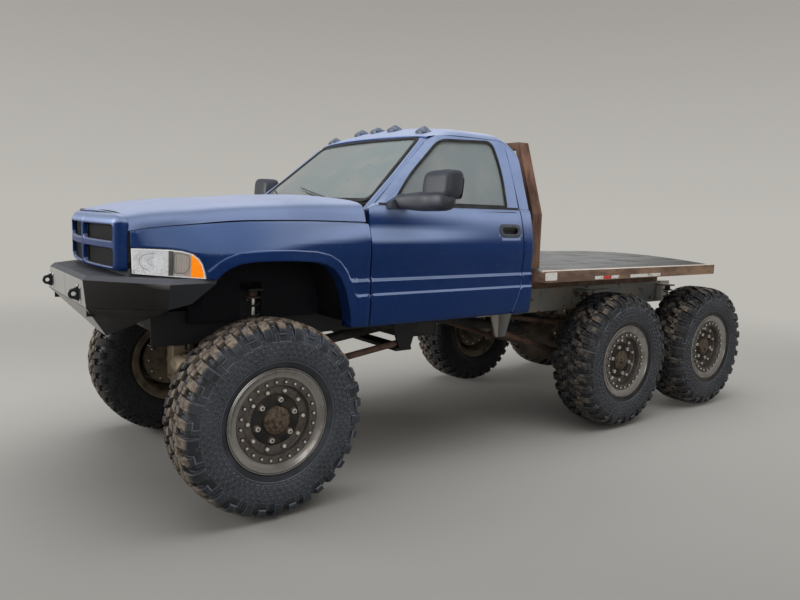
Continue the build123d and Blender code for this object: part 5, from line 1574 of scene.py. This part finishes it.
# ---------------------------------------------------------------- deck frame
# Steel bearers and rails under the sheet. The rub rails have rusted brown, with reflector
# strips stuck under them and a blank white plate near the front.
deck_rust = Finish("deck_rust")
scale = deck_rust.between(deck_rust.noise(8, 7, 0.65, (0.35, 1, 1)), 0.38, 0.64)
worn = deck_rust.worn_edge(0.004)
brown = deck_rust.mix(scale, (0.30, 0.190, 0.128), (0.135, 0.088, 0.063))
deck_rust.set(Base_Color=deck_rust.mix(worn * 0.5, brown, (0.33, 0.25, 0.19)),
              Roughness=0.70 + scale * 0.15, Metallic=0.1,
              Normal=deck_rust.bump(deck_rust.noise(75, 6), 0.0012, 0.7, deck_rust.rounded(0.003)))
dress("deck_frame", deck_rust)
post_rust = Finish("headboard_rust")
runs = post_rust.between(post_rust.noise(9, 7, 0.65, (1, 1, 0.18)), 0.38, 0.66)
bare = post_rust.worn_edge(0.004)
umber = post_rust.mix(runs, (0.200, 0.108, 0.070), (0.070, 0.038, 0.027))
post_rust.set(Base_Color=post_rust.mix(bare * 0.45, umber, (0.33, 0.24, 0.18)),
              Roughness=0.72 + runs * 0.15, Metallic=0.1,
              Normal=post_rust.bump(post_rust.noise(60, 6, 0.6, (1, 1, 0.3)), 0.0016, 0.7,
                                    post_rust.rounded(0.003)))
dress("headboard", post_rust)
white_strip = two_tone("reflector_white", (40, 6), (0.50, 0.66), (0.72, 0.71, 0.68),
                       (0.34, 0.30, 0.25), (0.35, 0.3), (500, 1, 0.0003, 0.4))
red_strip = two_tone("reflector_red", (40, 6), (0.50, 0.66), (0.55, 0.035, 0.025),
                     (0.22, 0.05, 0.04), (0.30, 0.3), (500, 1, 0.0003, 0.4))
strips = Shape()
rail_face = 1.0397
for side in (1, -1):
    def on_rail(x, z, out, s=side):
        return x, s * (rail_face + out), z

    places = [(-0.715, -0.82, 0), (-0.82, -0.925, 1), (-0.925, -1.028, 0), (-1.180, -1.395, 0),
              (-1.395, -1.615, 0)]
    for front, back, mark in places:
        flat = [(front, 1.2665), (back + 0.002, 1.2665), (back + 0.002, 1.2925), (front, 1.2925)]
        strips.slab(flat, 0.0, 0.0016, on_rail, mark, 0.0005)
    card = rounded_outline([(-0.13, 1.275), (-0.262, 1.275), (-0.262, 1.335), (-0.13, 1.335)],
                           0.008)
    strips.slab(card, 0.0, 0.0018, on_rail, 0, 0.0005)
strips.make("reflector_strips", "chassis", "lamp_red", [white_strip, red_strip])

# ---------------------------------------------------------------- mirrors
# Dark grey satin plastic: a rounded box head over a bullet-shaped arm that grows out of a
# triangular foot on the door, with a bright glass on the back.
mirror_plastic = two_tone("mirror_plastic", (7, 5), (0.40, 0.72), (0.026, 0.030, 0.042),
                          (0.044, 0.048, 0.060), (0.42, 0.14), (650, 2, 0.0003, 0.45))
mirror_glass = two_tone("mirror_glass", (15, 5), (0.5, 0.75), (0.80, 0.82, 0.83),
                        (0.62, 0.64, 0.65), (0.04, 0.12), (4, 2, 0.0004, 0.1), Metallic=1.0)
mirror = Shape()


def soft_box_rows(centre, size, power):
    """Rounded box as rings from its inner end to its outer end, along Y."""
    count, layers = 28, 16
    rows = []
    for k in range(layers + 1):
        t = -1 + 2 * k / layers
        t = sin(t * pi / 2)
        share = max(1 - abs(t) ** power, 0.0) ** (1 / power)
        ring = []
        for j in range(count):
            turn = 2 * pi * j / count
            a, b = cos(turn), sin(turn)
            reach = (abs(a) ** power + abs(b) ** power) ** (-1 / power)
            ring.append((centre[0] + size[0] / 2 * share * a * reach, centre[1] + size[1] / 2 * t,
                         centre[2] + size[2] / 2 * share * b * reach))
        rows.append(ring)
    return rows


mirror_x, mirror_y = 1.050, 1.226
head = np.array(soft_box_rows((mirror_x, mirror_y, 1.920), (0.138, 0.262, 0.178), 5.0))
head[:, :, 0] += (head[:, :, 2] - 1.90) * -0.10
head[:, :, 2] += (head[:, :, 1] - mirror_y) * 0.04
mirror.grid(head, 0, closed=True, capped=True)
arm_rows = []
for k in range(19):
    share = k / 18
    y = 0.925 + share * 0.432
    swell = 0.46 + 0.54 * float(soft_step(share, 0, 0.45))
    nose = sqrt(max(1 - max(0.0, (share - 0.72) / 0.281) ** 2.6, 0.0))
    wide, tall = 0.126 * swell * nose, 0.122 * (0.50 + 0.50 * swell) * nose
    x, z = 1.150 - 0.078 * float(soft_step(share, 0, 0.6)), 1.814 + 0.012 * share
    arm_rows.append([(x + wide / 2 * cos(j * pi / 12) * (abs(cos(j * pi / 12)) + 1e-9) ** -0.35,
                      y, z + tall / 2 * sin(j * pi / 12) * (abs(sin(j * pi / 12)) + 1e-9) ** -0.35)
                     for j in range(24)])
mirror.grid(arm_rows, 0, closed=True, capped=True)
foot = rounded_outline([(1.245, 1.768), (1.085, 1.768), (1.062, 1.815), (1.105, 1.872),
                        (1.235, 1.806)], 0.012)
sheet_panel(mirror, foot, lambda x, z: (x, np.maximum(door_y(x, z), 0.885) + 0.030, z), 0.045, (),
            0.02, drop=0.006)
plane = rounded_outline([(1.130, 1.838), (1.340, 1.838), (1.340, 1.972), (1.130, 1.972)], 0.03)
sheet_panel(mirror, plane, lambda y, z: (mirror_x - 0.0700 - (z - 1.90) * 0.10 + 0 * y, y, z),
            0.003, (), 0.04, away=(-1, 0, 0), mark=1, drop=0.0005)
for side, shape in (("left", mirror), ("right", mirror.mirrored())):
    piece = shape.make(f"mirror_unit_{side}", f"{side}_door", "plastic_grey",
                       [mirror_plastic, mirror_glass], 40)
    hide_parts(f"mirror_{side}")

# ---------------------------------------------------------------- roof lamps
# Five small marker lamps: a pressed pyramid in body colour with a dark screw cap on top.
marker_paint = two_tone("marker_paint", (40, 5), (0.40, 0.70), (0.060, 0.078, 0.125),
                        (0.115, 0.135, 0.180), (0.38, 0.2), (300, 3, 0.0003, 0.4))
markers = Shape()
screen_front = 0.7095
for y in (-0.600, -0.225, 0.0, 0.225, 0.600):
    outer = abs(y) > 0.5
    x = screen_front if outer else screen_front - 0.020
    level = float(roof_height(x, y)) - (0.004 if outer else 0.0)
    top_z = min(level + 0.042, 2.372) if outer else min(level + 0.040, roof_top)
    rings = []
    for size, z, power in ((0.056, level - 0.014, 6), (0.056, level + 0.004, 6),
                           (0.049, level + 0.012, 5), (0.017, top_z - 0.005, 3),
                           (0.010, top_z, 2.4)):
        ring = []
        for j in range(24):
            a, b = cos(j * pi / 12), sin(j * pi / 12)
            reach = size * (abs(a) ** power + abs(b) ** power) ** (-1 / power)
            beside = 0.78 * reach * b
            ring.append((x + reach * a, y + beside, z - beside * 0.214 * y))
        rings.append(ring)
    markers.grid(rings, 0, closed=True, capped=True)
    markers.tube([(x, y, top_z - 0.003), (x, y, top_z + 0.0002)], 0.006, 10, 1)
marker_piece = markers.make("marker_lamps", "chassis", "body_blue", [marker_paint, mesh_black], 30)
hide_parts("roof_lamps")

# ---------------------------------------------------------------- coil-overs
# A damper beside each end of each axle: a rusty body tube with a spring seat and a bright
# rod, inside a coil of round spring wire under a cap.
shock_rust = two_tone("shock_rust", (20, 6), (0.42, 0.64), (0.085, 0.052, 0.036),
                      (0.042, 0.028, 0.024), (0.68, 0.18), (120, 5, 0.0010, 0.7), edge=0.002)
coil_paint = two_tone("coil_paint", (30, 5), (0.52, 0.68), (0.022, 0.023, 0.026),
                      (0.085, 0.058, 0.042), (0.45, 0.3), (160, 4, 0.0006, 0.5))
coils = Shape()
spring_foot, spring_y = 0.634, 0.560
coil_radius = 0.0375
body_tube = [(0.0, 0.002), (0.018, 0.002), (0.020, 0.030), (0.046, 0.034), (0.046, 0.040),
             (0.025, 0.044), (0.025, 0.25), (0.022, 0.258), (0.0, 0.258)]
top_cap = [(0.0, -0.060), (0.047, -0.060), (0.049, -0.052), (0.026, -0.047), (0.024, -0.016),
           (0.0, -0.016)]
for spring_x, spring_top in ((1.9735, 1.260), (-1.2185, 1.110), (-2.5195, 1.110)):
    one = Shape()
    low, high = spring_foot + 0.040, spring_top - 0.062
    turns = 8 if high - low > 0.45 else 6
    path = []
    for k in range(turns * 20 + 1):
        share = k / (turns * 20)
        slope = share + 0.035 * float(soft_step(share, 0, 0.10) - soft_step(share, 0.90, 1.0))
        angle = 2 * pi * turns * share
        path.append((spring_x + coil_radius * cos(angle), spring_y + coil_radius * sin(angle),
                     low + 0.007 + (high - low - 0.016) * min(max(slope, 0), 1)))
    one.tube(path, 0.0065, 8, 1)
    rod_low, rod_high = spring_foot + 0.25, spring_top - 0.05
    rod = [(0.0, rod_low), (0.011, rod_low), (0.011, rod_high), (0.0, rod_high)]
    for profile, mark in (([(radius, spring_foot + rise) for radius, rise in body_tube], 0),
                          (rod, 2),
                          ([(radius, spring_top + rise) for radius, rise in top_cap], 0)):
        rings = []
        for radius, z in profile:
            size = max(radius, 0.0004)
            rings.append([(spring_x + size * cos(k * pi / 14), spring_y + size * sin(k * pi / 14), z)
                          for k in range(28)])
        one.grid(rings, mark, closed=True, capped=True)
    coils.join(one, one.mirrored())
coil_piece = coils.make("coil_springs", "chassis", "link_rust",
                        [shock_rust, coil_paint, bolt_steel], 40)
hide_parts("coilovers")

# ---------------------------------------------------------------- bench seat
# Grey cloth bench: one long cushion and one long back, each blown up by a short cloth run from
# a rounded block while its sewn channels are held, so it crowns between them. Piping after.
seat_cloth = Finish("seat_cloth")
weave_u = seat_cloth.add("ShaderNodeTexWave", {"bands_direction": "Y"},
                         {"Vector": seat_cloth.spot(), "Scale": 160.0, "Distortion": 0.6})
weave_v = seat_cloth.add("ShaderNodeTexWave", {"bands_direction": "X"},
                         {"Vector": seat_cloth.spot(), "Scale": 160.0, "Distortion": 0.6})
wear = seat_cloth.between(seat_cloth.noise(6, 5), 0.40, 0.70)
seat_cloth.set(Base_Color=seat_cloth.mix(wear, (0.105, 0.112, 0.125), (0.165, 0.165, 0.165)),
               Roughness=0.88 + weave_u * 0.06, Sheen_Weight=0.35,
               Normal=seat_cloth.bump(weave_u + weave_v + seat_cloth.noise(300, 3), 0.0008, 0.6))
seat_piping = two_tone("seat_piping", (40, 4), (0.45, 0.7), (0.030, 0.032, 0.038),
                       (0.070, 0.070, 0.072), (0.55, 0.2), (500, 2, 0.0004, 0.5))
channel_ys = (-0.235, 0.235)


def soft_block(name, centre, size, lean=0.0, crown=0.0):
    """Rounded block as a fine closed mesh, leaning back by an angle."""
    block = Shape()
    rows = []
    layers = 44
    for k in range(layers + 1):
        t = sin((-1 + 2 * k / layers) * pi / 2)
        share = max(1 - abs(t) ** 9, 0.0) ** (1 / 9)
        ring = []
        for j in range(48):
            a, b = cos(2 * pi * j / 48), sin(2 * pi * j / 48)
            reach = (abs(a) ** 5 + abs(b) ** 5) ** (-1 / 5)
            x, z = size[0] / 2 * share * a * reach, size[2] / 2 * share * b * reach
            z += crown * (1 - t * t) * max(b, 0)
            ring.append((centre[0] + x * cos(lean) - z * sin(lean), centre[1] + size[1] / 2 * t,
                         centre[2] + x * sin(lean) + z * cos(lean)))
        rows.append(ring)
    block.grid(rows, 0, closed=True, capped=True)
    return block.make(name, "chassis", "seat_fabric", [seat_cloth], 60)


cloth_frames = 20


def blown_up(piece, held, cap=0.024):
    """Short pressurised cloth run with the held points pinned, applied to the mesh."""
    scene = bpy.context.scene
    bpy.ops.object.select_all(action="DESELECT")
    piece.select_set(True)
    bpy.context.view_layer.objects.active = piece
    remesh = piece.modifiers.new("remesh", "REMESH")
    remesh.mode = "VOXEL"
    remesh.voxel_size = 0.008
    bpy.ops.object.modifier_apply(modifier=remesh.name)
    mesh = piece.data
    mesh.polygons.foreach_set("use_smooth", [True] * len(mesh.polygons))
    start = np.empty(len(mesh.vertices) * 3)
    mesh.vertices.foreach_get("co", start)
    start = start.reshape(-1, 3)
    group = piece.vertex_groups.new(name="held")
    group.add([int(k) for k in np.nonzero(held(start))[0]], 1.0, "REPLACE")
    cloth = piece.modifiers.new("cloth", "CLOTH")
    for key, value in {"quality": 4, "mass": 0.3, "tension_stiffness": 25,
                       "compression_stiffness": 25, "bending_stiffness": 2.0,
                       "use_pressure": True, "uniform_pressure_force": 4.0,
                       "vertex_group_mass": "held"}.items():
        setattr(cloth.settings, key, value)
    cloth.settings.effector_weights.gravity = 0
    cloth.collision_settings.use_collision = False
    cloth.point_cache.frame_start = 1
    cloth.point_cache.frame_end = cloth_frames
    for number in range(1, cloth_frames + 1):
        scene.frame_set(number)
    bpy.ops.object.modifier_apply(modifier=cloth.name)
    end = np.empty(len(mesh.vertices) * 3)
    mesh.vertices.foreach_get("co", end)
    move = end.reshape(-1, 3) - start
    length = np.linalg.norm(move, axis=1)
    move *= np.minimum(1, cap / np.maximum(length, 1e-9))[:, None]
    mesh.vertices.foreach_set("co", (start + move).ravel())
    mesh.update()
    piece.vertex_groups.clear()
    scene.frame_set(1)


seat_front = 0.6275
cushion = soft_block("seat_cushion", (seat_front - 0.262, 0, 1.462), (0.478, 1.236, 0.105),
                     0.03, 0.012)
seat_lean = 0.095
rest_x = seat_front - 0.475
rest = soft_block("seat_rest", (rest_x, 0, 1.800), (0.088, 1.236, 0.580), seat_lean)


def on_channel(points):
    return np.abs(np.abs(points[:, 1]) - channel_ys[1]) < 0.006


def cushion_held(points):
    rim = np.abs(points[:, 2] - 1.468) < 0.006
    return on_channel(points) | rim | (points[:, 2] < 1.418)


def rest_held(points):
    across = (points[:, 0] - rest_x) * cos(seat_lean)
    across += (points[:, 2] - 1.800) * sin(seat_lean)
    return on_channel(points) | (np.abs(across + 0.012) < 0.005)


blown_up(cushion, cushion_held)
blown_up(rest, rest_held, 0.022)


def outline_at(piece, y, centre):
    """Points where the piece's skin crosses a plane across Y, found from its middle."""
    points = []
    for angle in np.arange(56) * 2 * pi / 56:
        way = Vector((cos(angle), 0, sin(angle)))
        found, place, _, _ = piece.ray_cast(Vector((centre[0], y, centre[1])), way)
        if found:
            points.append(tuple(place))
    return points


piping = Shape()
for piece, middle in ((cushion, (seat_front - 0.262, 1.465)), (rest, (rest_x, 1.800))):
    for y in channel_ys:
        loop = outline_at(piece, y, middle)
        piping.tube(loop + loop[:1], 0.0028, 6, 0)
piping.make("seat_piping", "chassis", "seat_fabric", [seat_piping], 60)
plinth = Shape()
for side in (1, -1):
    for behind in (0.470, 0.120):
        plinth.box((seat_front - behind, side * 0.56 - 0.03, 1.1605),
                   (seat_front - behind + 0.070, side * 0.56 + 0.03, 1.405), 0, 0.006)
plinth.box((seat_front - 0.478, -0.598, 1.365), (seat_front - 0.045, 0.598, 1.412), 0, 0.010)
plinth.box((seat_front - 0.460, -0.50, 1.1605), (seat_front - 0.080, 0.50, 1.200), 0, 0.008)
for y in (-0.3, 0.0, 0.3):
    plinth.box((seat_front - 0.440, y - 0.020, 1.198), (seat_front - 0.100, y + 0.020, 1.368), 0,
               0.004)
plinth_piece = plinth.make("seat_base", "chassis", "plastic_grey", [trim_paint], 30)
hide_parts("bench_seat")

# ---------------------------------------------------------------- dashboard and wheel
# Moulded vinyl with a fine leather grain, faded on top where the sun reaches it.
vinyl = Finish("dash_vinyl")
sun_side = vinyl.between(vinyl.facing("Z"), 0.2, 1.0)
marbling = vinyl.noise(9, 4)
tone = vinyl.mix(marbling, (0.060, 0.064, 0.072), (0.085, 0.088, 0.094))
vinyl.set(Base_Color=vinyl.mix(sun_side * 0.6, tone, (0.17, 0.17, 0.175)),
          Roughness=0.52 + marbling * 0.2,
          Normal=vinyl.bump(vinyl.noise(520, 4), 0.0005, 0.6, vinyl.rounded(0.010)))
wheel_grip = two_tone("wheel_grip", (12, 4), (0.45, 0.70), (0.028, 0.028, 0.030),
                      (0.050, 0.049, 0.048), (0.38, 0.2), (700, 3, 0.0004, 0.5), edge=0.004)
dress("dashboard", vinyl)
dress("steering_wheel", wheel_grip)

# ---------------------------------------------------------------- wipers
# Two black wiper arms on the cowl, each holding a rubber blade against the lower screen.
wipers = Shape()
for pivot_y, tip_y in ((0.52, 0.02), (-0.10, -0.60)):
    start = (float(screen_x(pivot_y, 1.800)) + 0.012, pivot_y, 1.806)
    stations = []
    for share in np.linspace(0, 1, 9):
        y = pivot_y + (tip_y - pivot_y) * share
        z = 1.806 + 0.080 * share
        stations.append((float(screen_x(y, z)) + 0.014 + 0.008 * sin(pi * share), y, z))
    wipers.tube(stations[:7], [0.008, 0.006, 0.005, 0.004, 0.004, 0.0035, 0.0035], 8, 0)
    blade = []
    for share in np.linspace(0.18, 1.12, 14):
        y = pivot_y + (tip_y - pivot_y) * share
        z = 1.806 + 0.080 * share + 0.010
        blade.append([(float(screen_x(y, z)) + out, y, z + shift) for out, shift in
                      ((0.003, -0.003), (0.011, -0.002), (0.012, 0.003), (0.003, 0.002))])
    wipers.grid(blade, 0, closed=True, capped=True)
    x, y, z = start
    wipers.tube([(x - 0.012, y, z - 0.020), (x + 0.004, y, z + 0.004)], 0.012, 12, 0)
wipers.make("wiper_arms", "chassis", "plastic_grey", [mesh_black], 40)

# ---------------------------------------------------------------- glass
# Tinted glass with a film of dust, and a pale base colour that is a painted reflection of the
# bright studio. It shows the pale studio more than the dark cab.
# Painted reflection: the pale grey base colour stands for the studio mirrored in the glass.
glass = two_tone("tinted_glass_painted_reflection", (6, 5), (0.40, 0.72), (0.31, 0.365, 0.37), (0.37, 0.395, 0.385),
                 (0.03, 0.08), (3, 2, 0.0004, 0.15), Transmission_Weight=0.55, IOR=1.45)
for name in ("windshield", "rear_window"):
    dress(name, glass)

# ---------------------------------------------------------------- frame and brackets
# Pressed channel rails with boxed crossmembers. The front half is near black as painted shade;
# behind the cab it is an old light grey blue with dust on its ledges and rust where it is
# chipped.
# The saw trims the rails' front horns, which end inside the bumper.
frame_paint = Finish("frame_paint")
chips = frame_paint.between(frame_paint.noise(9, 6), 0.56, 0.68)
edge_rust = frame_paint.worn_edge(0.006) * frame_paint.between(frame_paint.noise(14, 4), 0.35, 0.6)
rust_share = frame_paint.between(chips + edge_rust, 0.2, 1.0)
place_x = frame_paint.part_of("X")
# Painted shade: the frame turns near black from behind the cab forward.
painted_shade_front_half = frame_paint.between(place_x, -0.35, -0.15)
pale = frame_paint.mix(frame_paint.between(frame_paint.noise(3, 4), 0.35, 0.7),
                       (0.22, 0.245, 0.255), (0.32, 0.285, 0.225))
off_bracket = place_x + 0.1165
bracket = (1 - frame_paint.between(off_bracket * off_bracket, 0.0120, 0.0150)) * (
    1 - frame_paint.between(frame_paint.part_of("Z"), 1.03, 1.06))
frame_colour_and_painted_shade = frame_paint.mix(painted_shade_front_half, pale, (0.0045, 0.0050, 0.0075))
frame_colour_and_painted_shade = frame_paint.mix(bracket, frame_colour_and_painted_shade, (0.40, 0.37, 0.33))
frame_paint.set(Base_Color=frame_paint.mix(rust_share * (1 - painted_shade_front_half * 0.9), frame_colour_and_painted_shade,
                                           (0.105, 0.058, 0.036)),
                Roughness=0.62 + rust_share * 0.25,
                Normal=frame_paint.bump(frame_paint.noise(60, 5), 0.0012, 0.6,
                                        frame_paint.rounded(0.003)))
dress("chassis_frame", frame_paint)
horn_saw = Shape()
horn_saw.box((2.560, -0.50, 0.90), (2.95, 0.50, 1.215), 0, 0.01)
horn_saw = horn_saw.make("horn_saw", "chassis", "frame_paint", [frame_paint])
horn_saw.hide_render = True
horn_cut = nodes["chassis_frame"].modifiers.new("horn_cut", "BOOLEAN")
horn_cut.object = horn_saw

# ---------------------------------------------------------------- axles
# Heavy cast and tube axles under old tan paint, dry and chalky, with brown grime.
axle_paint = Finish("axle_paint")
grime = axle_paint.between(axle_paint.noise(5, 6), 0.42, 0.66)
# The tan turns dark brown towards the rear axles.
toward_front = axle_paint.between(axle_paint.part_of("X"), 0.4, 1.2)
tan = axle_paint.mix(toward_front, (0.115, 0.088, 0.062), (0.38, 0.30, 0.205))
axle_paint.set(Base_Color=axle_paint.mix(grime, tan, (0.060, 0.044, 0.033)),
               Roughness=0.7 + grime * 0.2,
               Normal=axle_paint.bump(axle_paint.noise(70, 5), 0.0015, 0.7,
                                      axle_paint.rounded(0.006)))
for name in ("front_axle", "middle_axle", "rear_axle", "knuckle_left", "knuckle_right"):
    dress(name, axle_paint)

# ---------------------------------------------------------------- links, pipe, tie rod
# Bare steel tube gone brown, with darker scale.
rusty = two_tone("rusty_steel", (6, 6), (0.4, 0.62), (0.175, 0.100, 0.068), (0.075, 0.050, 0.040),
                 (0.72, 0.15), (90, 6, 0.001, 0.7), edge=0.003, Metallic=0.15)
for name in ("lower_links", "upper_links", "tie_rod", "exhaust_pipe"):
    dress(name, rusty)

# ---------------------------------------------------------------- engine, drive train, radiator
# Cast iron block and shafts and an aluminium gearbox, all darkened near black as painted
# shade, and a finned radiator.
# Painted shade: the iron is darker than the metal alone.
iron = two_tone("cast_iron_painted_shade", (8, 6), (0.42, 0.66), (0.040, 0.038, 0.036), (0.018, 0.017, 0.016),
                (0.66, 0.2), (110, 6, 0.0016, 0.8), edge=0.006)
dress("engine_block", iron)
dress("drive_shafts", iron)
# Painted shade: the aluminium gearbox is near black.
casting = two_tone("aluminium_painted_shade", (5, 6), (0.45, 0.68), (0.050, 0.047, 0.044),
                   (0.018, 0.016, 0.015), (0.55, 0.2), (90, 6, 0.0014, 0.7), edge=0.005,
                   Metallic=0.5)
dress("gearbox", casting)
fins = Finish("radiator_fins")
fin_wave = fins.add("ShaderNodeTexWave", {"bands_direction": "Z"},
                    {"Vector": fins.spot(), "Scale": 70.0, "Distortion": 0.2})
fins.set(Base_Color=fins.mix(fin_wave, (0.010, 0.010, 0.011), (0.035, 0.035, 0.036)), Metallic=0.3,
         Roughness=0.5 + fin_wave * 0.2, Normal=fins.bump(fin_wave, 0.002, 0.8))
dress("radiator", fins)

# ---------------------------------------------------------------- liners, tank, tail lamps
# Wheel-arch liners in blue-black undercoating, made darker as painted shade inside the arches,
# a black steel tank, and red ribbed tail lamps.
# Painted shade: the liners are darker than the undercoating alone.
undercoat_and_painted_shade = two_tone("undercoat_and_painted_shade", (5, 6), (0.46, 0.72), (0.0022, 0.0032, 0.0075),
                     (0.010, 0.0105, 0.013), (0.70, 0.2), (130, 4, 0.0014, 0.6),
                     Specular_IOR_Level=0.25)
dress("inner_fenders", undercoat_and_painted_shade)
tank_black = two_tone("tank_black", (18, 6), (0.55, 0.68), (0.016, 0.016, 0.017),
                      (0.075, 0.058, 0.044), (0.48, 0.3), (90, 5, 0.0008, 0.5), edge=0.006)
dress("fuel_tank", tank_black)
tail_red = Finish("tail_red")
ribs = tail_red.add("ShaderNodeTexWave", {"bands_direction": "Y"},
                    {"Vector": tail_red.spot(), "Scale": 40.0, "Distortion": 0.0})
tail_red.set(Base_Color=tail_red.mix(ribs, (0.34, 0.010, 0.010), (0.52, 0.022, 0.018)),
             Roughness=0.14 + ribs * 0.08, Coat_Weight=0.6,
             Normal=tail_red.bump(ribs, 0.0012, 0.7, tail_red.rounded(0.008)))
dress("tail_lamps", tail_red)
